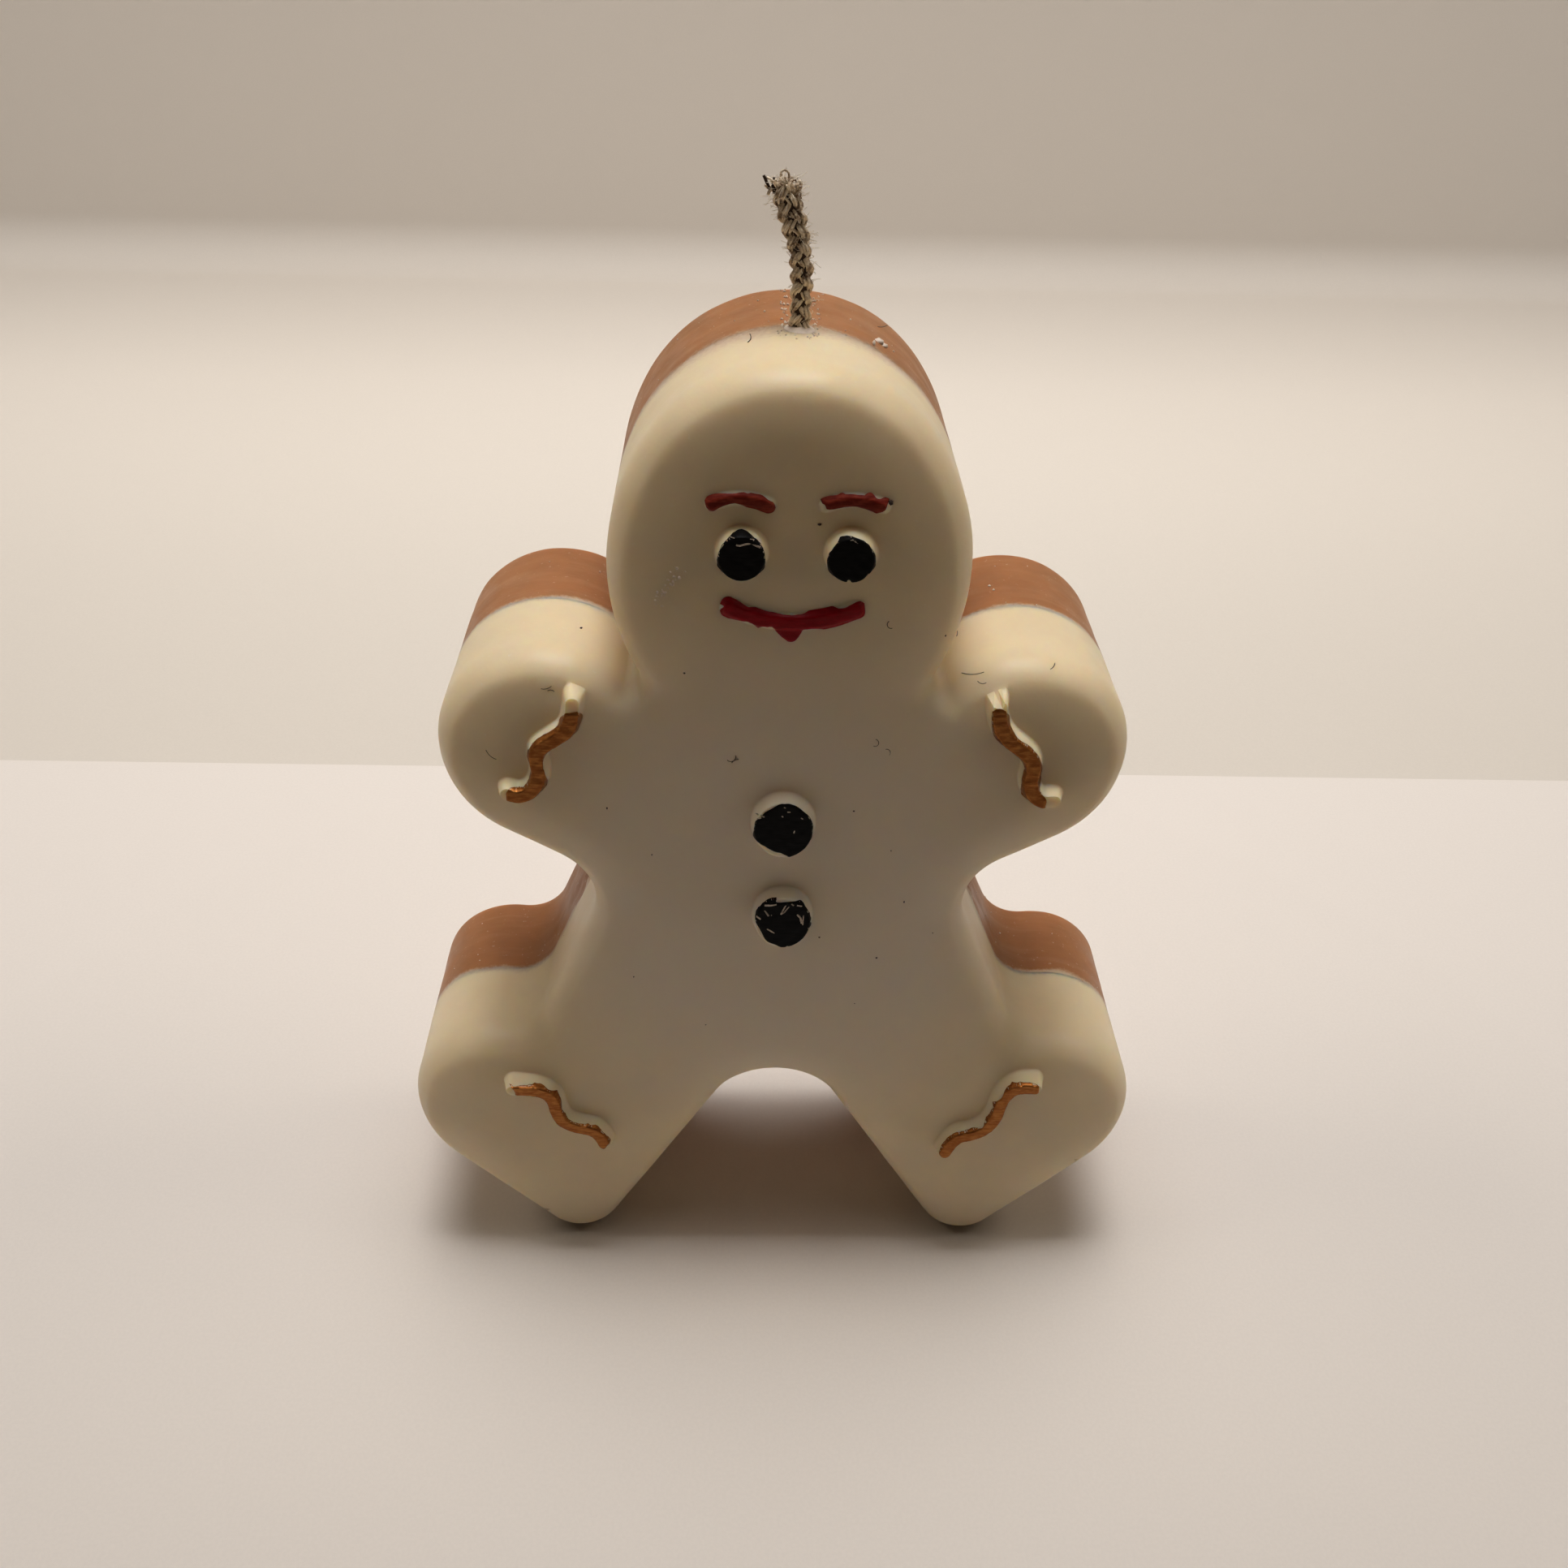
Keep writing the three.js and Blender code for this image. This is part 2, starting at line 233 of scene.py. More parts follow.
def evenly(polygon, step):
    """Evenly spaced points round a closed polygon, and the direction to its right at each."""
    closed = np.concatenate([polygon, polygon[:1]])
    length = np.linalg.norm(np.diff(closed, axis=0), axis=1).sum()
    even = resample(closed, int(length / step) + 1)[:-1]
    along = unit(np.roll(even, -1, axis=0) - np.roll(even, 1, axis=0))
    return even, np.stack([along[:, 1], -along[:, 0]], 1)


def arc_line(x, z, half_chord, rise, count=40):
    """A shallow arc over a chord from side to side: a positive rise arches up."""
    radius = (half_chord ** 2 + rise ** 2) / (2 * abs(rise))
    half = math.asin(half_chord / radius)
    up = math.copysign(1.0, rise)
    turn = np.linspace(-half, half, count)
    return np.stack([x + radius * np.sin(turn), z + rise - up * radius + up * radius * np.cos(turn)], 1)


def stroke(line, width, end_sides=10):
    """The outline of a line of the given width with round ends."""
    half = width / 2
    along = unit(np.gradient(line, axis=0))
    side = np.stack([-along[:, 1], along[:, 0]], 1)

    def cap(centre, direction):
        start = math.atan2(direction[0], -direction[1])
        turns = start - np.pi * np.arange(1, end_sides) / end_sides
        return centre + half * np.stack([np.cos(turns), np.sin(turns)], 1)

    left, right = line + side * half, line - side * half
    return np.concatenate([left, cap(line[-1], along[-1]), right[::-1], cap(line[0], -along[0])])


def oval(x, z, half_width, half_height, count=72):
    turn = np.linspace(0.0, 2 * np.pi, count, endpoint=False)
    return np.stack([x + half_width * np.cos(turn), z + half_height * np.sin(turn)], 1)


# ---- The body's outline ----


def walk_outline():
    """Points and outward normals of the right half of the outline, with the crown at z = 0."""
    points, normals = [np.array([0.0, 0.0])], [np.array([0.0, 1.0])]
    at, heading = np.array([0.0, 0.0]), 0.0

    def normal(h):
        return np.array([-math.sin(math.radians(h)), math.cos(math.radians(h))])

    def turn_by(at, heading, radius, turn):
        bend = math.copysign(radius, turn)
        centre = at - bend * normal(heading)
        reach = radius if turn > 0 else radius + DOME_IN
        steps = math.ceil(math.radians(abs(turn)) * reach / OUTLINE_STEP)
        for i in range(1, steps + 1):
            n = normal(heading - turn * i / steps)
            points.append(centre + bend * n)
            normals.append(n)
        return points[-1], heading - turn

    def run_by(at, heading, length):
        n = normal(heading)
        ahead = np.array([n[1], -n[0]])
        steps = math.ceil(length / OUTLINE_STEP)
        for i in range(1, steps + 1):
            points.append(at + ahead * length * i / steps)
            normals.append(n)
        return points[-1]

    for radius, turn, run in HALF_OUTLINE:
        at, heading = turn_by(at, heading, radius, turn)
        if run:
            at = run_by(at, heading, run)
    slope = np.array([math.cos(math.radians(heading)), math.sin(math.radians(heading))])
    at = run_by(at, heading, (at[0] - CROTCH_RADIUS * slope[1]) / -slope[0])
    turn_by(at, heading, CROTCH_RADIUS, heading + 180)
    return np.array(points), np.array(normals)


def closed_outline():
    """Points and normals of the whole outline, standing on its heels."""
    points, normals = walk_outline()
    points[:, 1] -= points[:, 1].min() + HEEL_FLAT_DEPTH
    flip = np.array([-1.0, 1.0])
    return (np.concatenate([points, points[-2:0:-1] * flip]),
            np.concatenate([normals, normals[-2:0:-1] * flip]))


OUTLINE, OUTLINE_NORMALS = closed_outline()


def ring(inset):
    points = OUTLINE - OUTLINE_NORMALS * inset
    return np.stack([points[:, 0], np.maximum(points[:, 1], 0.0)], 1)


# ---- Raised parts on the face ----


def raised_outlines():
    """Outline and height of every raised part, by name."""
    parts = {}
    for side, hand in ((-1, "left"), (1, "right")):
        eye = oval(FACE_X + side * EYE["x"], EYE["z"], EYE["half_width"], EYE["half_height"])
        parts[f"eye_{hand}"] = (eye, RELIEF)
        brow = arc_line(FACE_X + side * BROW["x"], BROW["z"], BROW["half_chord"], BROW["rise"])
        parts[f"brow_{hand}"] = (stroke(brow, BROW["width"]), LINE_RELIEF)
    for name, points in SQUIGGLES.items():
        parts[name] = (stroke(spline(points, 90), SQUIGGLE_WIDTH), RELIEF)
    mouth = arc_line(MOUTH["x"], MOUTH["z"], MOUTH["half_chord"], MOUTH["rise"], 80)
    parts["mouth"] = (stroke(mouth, MOUTH["width"]), LINE_RELIEF)
    for name, button in BUTTONS.items():
        parts[name] = (oval(**button), RELIEF)
    return parts


RAISED = raised_outlines()


def close_to(polygon, points, margin=1.0):
    """Indices of the points in the polygon's box and a margin round it."""
    low, high = polygon.min(0) - margin, polygon.max(0) + margin
    return np.where(((points > low) & (points < high)).all(1))[0]


def bare_y(points):
    """The front's y without its raised parts at each [x, z]: flat, then domed, then rounded to the sides."""
    inside = np.maximum(signed_distance(OUTLINE, points), 0.0)
    dome = DOME_DEPTH * np.clip((DOME_IN - inside) / (DOME_IN - CREASE_IN), 0.0, 1.0) ** 2
    across = 1.0 - np.minimum(inside, CREASE_IN) / EDGE_RADIUS
    return FRONT_Y + dome + CREASE_DROP - EDGE_RADIUS * np.sqrt(1.0 - across ** 2)


SWELL_HEIGHT, SWELL_WIDTH = 0.05, 9.0
RIPPLE_HEIGHT, RIPPLE_WIDTH = 0.02, 2.6


def swell(points):
    """The slow unevenness of cast wax, in millimetres, at each 3-D point."""
    slow = SWELL_HEIGHT * noise_at(points, SWELL_WIDTH, 1)
    return slow + RIPPLE_HEIGHT * noise_at(points, RIPPLE_WIDTH, 2)


def face_y(points):
    """The front's y at each [x, z], with the raised parts."""
    bare = bare_y(points)
    y = bare.copy()
    for polygon, height in RAISED.values():
        near = close_to(polygon, points)
        if len(near):
            depth = signed_distance(polygon, points[near])
            rise = smooth((depth + WALL_OUT) / (WALL_OUT + WALL_IN))
            y[near] = np.minimum(y[near], bare[near] - rise * (bare[near] - FRONT_Y + height))
    return y - swell(upright(points, bare))


# ---- Places in the picture ----

FOCAL = LENS / SENSOR * IMAGE
RAY_STEP = 0.2
FINE_STEPS = 10                         # in each step of a ray
NEAREST_Y = FRONT_Y - RELIEF - 0.3      # no wax lies in front of this
LONGEST_GAP = 0.5                       # between neighbouring points of a hair that lies on the wax
CAMERA_TURN = (Matrix.Rotation(math.radians(YAW), 3, "Z") @ Matrix.Rotation(math.radians(90 + PITCH), 3, "X")
               @ Matrix.Rotation(math.radians(ROLL), 3, "Z"))


def rays(pixels):
    """Directions of the camera's rays through the pixels, each 1 long in y."""
    p = np.array(pixels, float)
    way = np.stack([(p[:, 0] - IMAGE / 2) / FOCAL, (IMAGE / 2 - p[:, 1]) / FOCAL, np.full(len(p), -1.0)], 1)
    way = way @ np.array(CAMERA_TURN).T
    return way / way[:, 1:2]


def on_plane(pixels, y):
    return CAMERA_AT + rays(pixels) * (y - CAMERA_AT[1])


def first_in_wax(way, depths):
    """The first of the depths in y at which each ray is in the wax, and where that is."""
    at = CAMERA_AT + way[:, None] * (depths - CAMERA_AT[1])[..., None]
    flat = at.reshape(-1, 3)
    inside = signed_distance(OUTLINE, flat[:, [0, 2]]) > 0
    inside[inside] = flat[inside, 1] >= face_y(flat[inside][:, [0, 2]])
    first = inside.reshape(at.shape[:2]).argmax(1)
    rows = np.arange(len(at))
    return depths[rows, first], at[rows, first]


def on_wax(pixels, behind=3.0):
    """Where the camera's rays through the pixels first meet the wax, down to `behind` the face."""
    way = rays(pixels)
    coarse = np.arange(NEAREST_Y, FRONT_Y + behind, RAY_STEP)
    depth, _ = first_in_wax(way, np.broadcast_to(coarse, (len(way), len(coarse))))
    fine = depth[:, None] + np.linspace(-RAY_STEP, 0.0, FINE_STEPS + 1)
    return first_in_wax(way, fine)[1]


def landed(places):
    """The places without those whose ray has met no wax."""
    return places[places[:, 1] > NEAREST_Y]


def unbroken(line):
    """The line up to its first leap from one part of the wax to another."""
    leaps = np.where(np.linalg.norm(np.diff(line, axis=0), axis=1) > LONGEST_GAP)[0]
    return line[:leaps[0] + 1] if len(leaps) else line


# ---- Making meshes ----


def add_piece(name, vertices, faces, material, slot, nodes=(), sharp=None):
    """A closed mesh from points in millimetres, riding on the candle."""
    mesh = bpy.data.meshes.new(name)
    mesh.from_pydata([tuple(v) for v in np.asarray(vertices) * MM], [], faces)
    weld_and_turn_out(mesh)
    mesh.shade_smooth()
    if sharp:
        mesh.set_sharp_from_angle(angle=math.radians(sharp))
    mesh.materials.append(material)
    piece = bpy.data.objects.new(name, mesh)
    bpy.context.scene.collection.objects.link(piece)
    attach(piece, "root")
    if nodes:
        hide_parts(*nodes)


WELD = 1e-7                 # metres


def weld_and_turn_out(mesh):
    bm = bmesh.new()
    bm.from_mesh(mesh)
    bmesh.ops.remove_doubles(bm, verts=bm.verts, dist=WELD)
    bmesh.ops.recalc_face_normals(bm, faces=bm.faces)
    bm.to_mesh(mesh)
    bm.free()


def strips(first, rings, count):
    """Quads between neighbouring rings of `count` points, the first of which starts at `first`."""
    faces = []
    for r in range(rings - 1):
        a = first + r * count
        for i in range(count):
            j = (i + 1) % count
            faces.append((a + i, a + j, a + count + j, a + count + i))
    return faces


def capped(rings, count):
    """The strips over some rings of `count` points, closed at both ends."""
    last = (rings - 1) * count
    return strips(0, rings, count) + [tuple(range(count))[::-1], tuple(range(last, last + count))]


def skin(levels):
    """Side walls over rings at (inset, y, turn), where turn is 0 facing -Y, 90 facing out, 180 facing +Y."""
    vertices = []
    for inset, y, turn in levels:
        flat = ring(inset)
        points = upright(flat, y)
        if turn <= 90:
            outward = smooth((turn - SPLIT_TURN) / (90.0 - SPLIT_TURN))
            forward = 1.0 - outward
        else:
            outward, forward = math.sin(math.radians(turn)), math.cos(math.radians(turn))
        out = upright(OUTLINE_NORMALS * outward, -forward)
        points = points + out * (swell(points) + flank_folds(points, turn))[:, None]
        points[:, 2] = np.maximum(points[:, 2], 0.0)
        vertices.append(points)
    return np.concatenate(vertices), strips(0, len(levels), len(OUTLINE))


FLANK_X, FLANK_Z = 16.5, 32.5
FLANK_REACH = 4.6
FLANK_SQUASH = 0.62         # heights count less than widths
FLANK_LEAD = 0.9            # the folds start this far in front of the joint
FLANK_FADE = 1.6            # and reach their height over this
FOLD_HEIGHT = 0.3
FOLD_WIDTH = 0.8
FOLD_STRETCH = np.array([0.45, 1.0, 0.3])


def flank_mask(points):
    """1 on the brown flanks between armpit and hip, where the wax dragged on its way out of the mould."""
    x, y, z = np.abs(points[:, 0]), points[:, 1], points[:, 2]
    along = smooth(1.0 - np.hypot(x - FLANK_X, (z - FLANK_Z) * FLANK_SQUASH) / FLANK_REACH)
    return along * smooth((y - LAYER_Y + FLANK_LEAD) / FLANK_FADE)


def flank_folds(points, turn):
    """Drag folds that run down the flanks, in millimetres."""
    mask = flank_mask(points)
    lift = np.zeros(len(points))
    here = np.where(mask > 0.01)[0]
    if turn == 90 and len(here):
        lift[here] = FOLD_HEIGHT * noise_at(points[here] * FOLD_STRETCH, FOLD_WIDTH, 7) * mask[here]
    return lift


def cap_face(boundary_2d, inner, y_of):
    flat, faces = fill(boundary_2d, inner)
    return upright(flat, y_of(flat)), faces


def join_parts(parts):
    vertices, faces = [], []
    for v, f in parts:
        start = sum(len(a) for a in vertices)
        vertices.append(v)
        faces += [tuple(i + start for i in face) for face in f]
    return np.concatenate(vertices), faces


# ---- The two layers of wax ----


def edge_levels(steps=9):
    """The front edge's round, from the crease to the side."""
    levels = []
    for turn in np.linspace(SPLIT_TURN, 90.0, steps + 1):
        t = math.radians(turn)
        y = FRONT_Y + DOME_DEPTH + CREASE_DROP - EDGE_RADIUS * math.cos(t)
        levels.append((EDGE_RADIUS * (1 - math.sin(t)), y, float(turn)))
    return levels


def side_levels(start, end, step=0.55):
    count = math.ceil((end - start) / step)
    return [(0.0, start + (end - start) * i / count, 90.0) for i in range(count + 1)]


WALL_STEP = 0.15            # between points along a raised part's wall, and kept clear of other points
WALL_ROWS = 11
WALL_SPARE = 0.06           # the rows reach this far past the wall's foot and top
WALL_OFF_RIM = 0.05


def boss_points():
    """Rows of points along the walls of the raised parts, so that the walls stay crisp."""
    rows = []
    for polygon, _ in RAISED.values():
        even, side = evenly(polygon, WALL_STEP)
        for offset in np.linspace(-WALL_IN - WALL_SPARE, WALL_OUT + WALL_SPARE, WALL_ROWS):
            row = even + side * offset
            clear = np.abs(signed_distance(polygon, row)) > abs(offset) - WALL_SPARE / 2
            rows.append(row[clear])
    return np.concatenate(rows)


def face_points(rim):
    coarse = grid_inside(rim, FACE_STEP)
    walls = boss_points()
    keep = np.ones(len(coarse), bool)
    for polygon, _ in RAISED.values():
        near = close_to(polygon, coarse)
        if len(near):
            depth = signed_distance(polygon, coarse[near])
            keep[near[(depth > -WALL_OUT - WALL_STEP) & (depth < WALL_IN + WALL_STEP)]] = False
    return np.concatenate([coarse[keep], walls[signed_distance(rim, walls) > WALL_OFF_RIM]])


def joint_face(rim):
    """The flat face where the two layers meet."""
    return cap_face(rim, np.empty((0, 2)), lambda flat: LAYER_Y)


def front_layer():
    """The cream layer: rounded front edge, raised parts, and a flat joint to the brown layer."""
    levels = edge_levels() + side_levels(FRONT_Y + DOME_DEPTH + CREASE_DROP, LAYER_Y)[1:]
    sides = skin(levels)
    rim = ring(levels[0][0])
    face = cap_face(rim, face_points(rim), face_y)
    face[0][:len(rim)] = sides[0][:len(rim)]
    return join_parts([sides, face, joint_face(sides[0][-len(OUTLINE):, [0, 2]])])


SINK_DEPTH = 0.3
SINK_REACH = 6.0            # from the back's edge to where it is sunk fully
BACK_EDGE_RADIUS = 0.35
BACK_STEP = 1.0


def back_y(points):
    """The poured back: cast flat, and sunk a little in the middle as the wax shrank."""
    sink = SINK_DEPTH * smooth(signed_distance(ring(0.0), points) / SINK_REACH)
    return BACK_Y + swell(upright(points, BACK_Y)) - sink


def back_layer(edge_steps=4):
    """The brown layer, with a nearly sharp edge round its poured back."""
    radius = BACK_EDGE_RADIUS
    levels = side_levels(LAYER_Y, BACK_Y - radius)
    for i in range(1, edge_steps + 1):
        turn = math.pi / 2 * i / edge_steps
        y = BACK_Y - radius * (1 - math.sin(turn))
        levels.append((radius * (1 - math.cos(turn)), y, 90 + 90 * i / edge_steps))
    sides = skin(levels)
    rim = ring(radius)
    back = cap_face(rim, grid_inside(rim, BACK_STEP, seed=2), back_y)
    return join_parts([sides, joint_face(sides[0][:len(OUTLINE), [0, 2]]), back])


# ---- Paint ----


# Outlines of the painted patches, as [across, down] pixels of the picture.
PAINTED = {
    "eye_left": (
        (914, 652), (921, 654), (927, 660), (932, 664), (938, 670), (942, 680), (943, 690), (942, 699),
        (940, 704), (936, 710), (929, 714), (924, 713), (919, 717), (911, 717), (901, 715), (897, 711),
        (890, 708), (884, 699), (883, 689), (886, 680), (889, 672), (894, 666), (898, 661), (903, 656),
        (909, 653)),
    "eye_right": (
        (1035, 662), (1039, 661), (1050, 661), (1058, 663), (1065, 666), (1071, 670), (1075, 677),
        (1079, 683), (1079, 697), (1077, 703), (1073, 706), (1070, 706), (1068, 710), (1066, 711),
        (1067, 713), (1063, 717), (1056, 720), (1050, 718), (1047, 714), (1043, 715), (1043, 719),
        (1040, 721), (1033, 719), (1026, 713), (1020, 702), (1019, 690), (1021, 682), (1026, 676),
        (1031, 669)),
    "brow_left": (
        (868, 616), (871, 612), (878, 609), (885, 608), (903, 608), (916, 606), (921, 608), (925, 607),
        (932, 608), (938, 609), (943, 613), (948, 617), (953, 618), (955, 622), (956, 625), (954, 630),
        (950, 632), (946, 635), (941, 634), (935, 631), (929, 629), (920, 625), (913, 622), (905, 620),
        (899, 621), (890, 624), (884, 627), (879, 630), (874, 629), (870, 625)),
    "brow_right": (
        (1011, 615), (1014, 613), (1022, 611), (1031, 610), (1038, 606), (1042, 609), (1050, 609),
        (1066, 610), (1069, 607), (1074, 606), (1077, 609), (1079, 613), (1083, 615), (1088, 613),
        (1093, 611), (1097, 613), (1095, 618), (1093, 623), (1091, 628), (1087, 631), (1080, 633),
        (1074, 630), (1066, 627), (1058, 625), (1050, 624), (1040, 625), (1031, 627), (1022, 628),
        (1018, 627), (1017, 622), (1013, 620)),
    "mouth": (
        (887, 744), (890, 738), (895, 734), (900, 735), (906, 738), (913, 742), (922, 748), (930, 748),
        (937, 750), (945, 753), (955, 755), (965, 757), (975, 758), (985, 757), (992, 755), (997, 752),
        (1001, 748), (1005, 745), (1012, 744), (1020, 745), (1025, 746), (1031, 749), (1038, 749),
        (1043, 748), (1050, 744), (1056, 741), (1061, 740), (1065, 743), (1066, 748), (1066, 760),
        (1064, 764), (1059, 767), (1052, 769), (1041, 770), (1031, 773), (1021, 776), (1010, 775),
        (1000, 775), (989, 776), (987, 780), (984, 785), (980, 789), (976, 791), (972, 791), (969, 789),
        (965, 786), (960, 782), (956, 778), (953, 774), (951, 772), (945, 773), (941, 772), (934, 774),
        (928, 769), (921, 766), (912, 765), (903, 763), (894, 761), (890, 758), (887, 753), (888, 750),
        (893, 747)),
    "button_upper": (
        (960, 991), (970, 990), (976, 991), (981, 993), (987, 997), (992, 1001), (996, 1005), (1000, 1011),
        (1002, 1016), (1002, 1022), (1001, 1028), (999, 1040), (996, 1045), (990, 1050), (984, 1053),
        (975, 1056), (971, 1055), (962, 1051), (955, 1050), (951, 1048), (944, 1044), (938, 1041),
        (934, 1037), (930, 1035), (928, 1031), (928, 1025), (929, 1018), (930, 1013), (932, 1010),
        (938, 1007), (941, 1002), (944, 1000), (951, 996), (956, 993)),
    "button_lower": (
        (954, 1105), (957, 1105), (957, 1108), (956, 1112), (962, 1112), (977, 1111), (981, 1110),
        (987, 1109), (990, 1112), (993, 1117), (996, 1122), (998, 1126), (1000, 1132), (998, 1135),
        (1000, 1140), (997, 1150), (995, 1154), (990, 1159), (984, 1163), (976, 1166), (970, 1165),
        (966, 1168), (962, 1167), (958, 1165), (953, 1163), (947, 1161), (944, 1159), (941, 1155),
        (938, 1148), (934, 1142), (931, 1136), (930, 1129), (931, 1123), (934, 1117), (938, 1113),
        (943, 1109), (948, 1106)),
    "arm_squiggle_left": (
        (691, 882), (698, 879), (705, 878), (713, 877), (718, 879), (718, 885), (715, 892), (712, 902),
        (709, 908), (701, 914), (691, 919), (680, 923), (674, 928), (671, 932), (669, 938), (669, 947),
        (672, 954), (675, 961), (674, 970), (670, 980), (662, 987), (652, 990), (630, 990), (624, 988),
        (624, 976), (628, 971), (635, 969), (644, 970), (649, 964), (652, 957), (654, 949), (652, 940),
        (649, 932), (650, 924), (655, 917), (664, 909), (674, 903), (683, 898), (688, 893), (689, 887)),
    "arm_squiggle_right": (
        (1223, 877), (1228, 874), (1234, 874), (1240, 877), (1244, 881), (1245, 893), (1249, 902),
        (1254, 909), (1261, 914), (1270, 920), (1277, 927), (1281, 933), (1284, 942), (1284, 951),
        (1283, 960), (1281, 970), (1283, 978), (1288, 983), (1290, 987), (1288, 993), (1287, 1000),
        (1283, 1003), (1275, 1001), (1268, 997), (1262, 989), (1259, 980), (1257, 971), (1259, 960),
        (1261, 951), (1262, 944), (1259, 938), (1254, 933), (1245, 930), (1238, 925), (1231, 920),
        (1225, 912), (1223, 903), (1222, 893), (1222, 884)),
    "leg_squiggle_left": (
        (627, 1334), (631, 1333), (632, 1338), (637, 1338), (641, 1337), (646, 1336), (652, 1336),
        (658, 1334), (662, 1335), (667, 1336), (671, 1338), (674, 1341), (678, 1343), (686, 1344),
        (689, 1348), (692, 1354), (693, 1366), (696, 1370), (698, 1375), (702, 1379), (708, 1383),
        (717, 1384), (725, 1384), (730, 1386), (733, 1385), (739, 1389), (742, 1393), (745, 1396),
        (749, 1399), (752, 1402), (753, 1405), (751, 1409), (748, 1412), (746, 1415), (742, 1417),
        (739, 1415), (736, 1410), (732, 1406), (726, 1403), (721, 1400), (712, 1398), (703, 1397),
        (695, 1397), (690, 1393), (684, 1388), (678, 1384), (675, 1378), (674, 1372), (672, 1367),
        (670, 1361), (663, 1357), (654, 1354), (646, 1354), (638, 1355), (637, 1350), (634, 1345),
        (630, 1340)),
    "leg_squiggle_right": (
        (1247, 1334), (1258, 1333), (1266, 1334), (1273, 1335), (1279, 1336), (1281, 1340), (1280, 1346),
        (1277, 1350), (1273, 1355), (1264, 1354), (1258, 1354), (1253, 1356), (1249, 1359), (1245, 1363),
        (1240, 1367), (1239, 1372), (1236, 1378), (1234, 1385), (1232, 1391), (1229, 1396), (1223, 1401),
        (1218, 1402), (1211, 1405), (1204, 1406), (1195, 1408), (1190, 1410), (1183, 1414), (1179, 1418),
        (1176, 1423), (1171, 1428), (1166, 1428), (1160, 1428), (1157, 1425), (1157, 1418), (1160, 1412),
        (1162, 1408), (1166, 1403), (1170, 1399), (1176, 1394), (1180, 1394), (1186, 1393), (1195, 1392),
        (1200, 1390), (1204, 1389), (1208, 1391), (1211, 1390), (1212, 1385), (1214, 1378), (1216, 1376),
        (1220, 1370), (1224, 1364), (1223, 1360), (1222, 1357), (1229, 1357), (1234, 1354), (1236, 1349),
        (1238, 1343), (1242, 1338)),
}
# Scuffs in the black paint that show the wax: width in pixels, and the pixels they run through.
SCUFFS = (
    (3.0, (907, 671), (912, 672), (918, 670), (926, 669), (932, 672), (937, 674)),
    (1.6, (927, 668), (929, 664), (923, 664)),
    (2.0, (900, 661), (905, 663)),
    (2.2, (1045, 666), (1051, 665), (1057, 669)),
    (4.5, (932, 1002), (934, 1003)),
    (2.4, (937, 1004), (942, 1006)),
    (2.2, (933, 1008), (938, 1007)),
    (2.0, (966, 994), (968, 995)),
    (2.2, (970, 1000), (974, 1000)),
    (2.0, (963, 1005), (965, 1006)),
    (2.0, (987, 1007), (990, 1009)),
    (2.0, (981, 1017), (980, 1021), (978, 1026)),
    (3.6, (942, 1115), (949, 1115), (957, 1114)),
    (2.6, (942, 1121), (945, 1125), (947, 1128)),
    (2.6, (950, 1127), (951, 1127)),
    (2.8, (932, 1128), (937, 1132)),
    (2.2, (962, 1126), (966, 1119), (969, 1113), (974, 1114), (970, 1119), (966, 1124), (962, 1126)),
    (3.2, (975, 1113), (978, 1115)),
    (2.4, (982, 1115), (988, 1116)),
    (3.4, (982, 1126), (986, 1130), (988, 1137)),
    (2.0, (990, 1127), (989, 1139)),
    (2.4, (995, 1142), (996, 1144)),
    (2.8, (944, 1143), (949, 1146), (954, 1149)),
)

DRIP_FROM = 777             # the mouth's paint runs down on the face below this pixel
PIXEL_STEP = 3.0            # between the points of a painted outline, in pixels
COAT_STEP = 0.085
COAT_ROUGHNESS = 0.02       # how far its edge wanders
COAT_TAPER = 0.14           # it reaches its thickness this far inside its edge
COAT_LIFT = 0.008           # its edge lies this far off the wax
COAT_SINK = 0.05            # and its underside this far in it


def ragged(polygon, step, rough, seed):
    """The polygon with a brush's uneven edge."""
    even, side = evenly(polygon, step)
    flat = upright(even, 0.0)
    wander = noise_at(flat, 0.9, seed) + 0.6 * noise_at(flat, 0.28, seed + 1)
    return even + side * (wander * rough)[:, None]


def held(points, polygon, reach, step=0.03):
    """The points, with any that lie more than `reach` outside the polygon drawn back to that."""
    fine, _ = evenly(polygon, step)
    out = points.copy()
    for i in np.where(signed_distance(polygon, points) < -reach)[0]:
        nearest = fine[((fine - points[i]) ** 2).sum(1).argmin()]
        out[i] = nearest + unit(points[i] - nearest) * reach
    return out


def painted_outline(name):
    """A painted patch's outline on the face, as [x, z]."""
    pixels, _ = evenly(np.array(PAINTED[name], float), PIXEL_STEP)
    outline = on_wax(pixels)[:, [0, 2]]
    kept = held(outline, RAISED[name][0], DRAPE)
    if name == "mouth":
        drip = pixels[:, 1] > DRIP_FROM
        kept[drip] = outline[drip]
    return kept


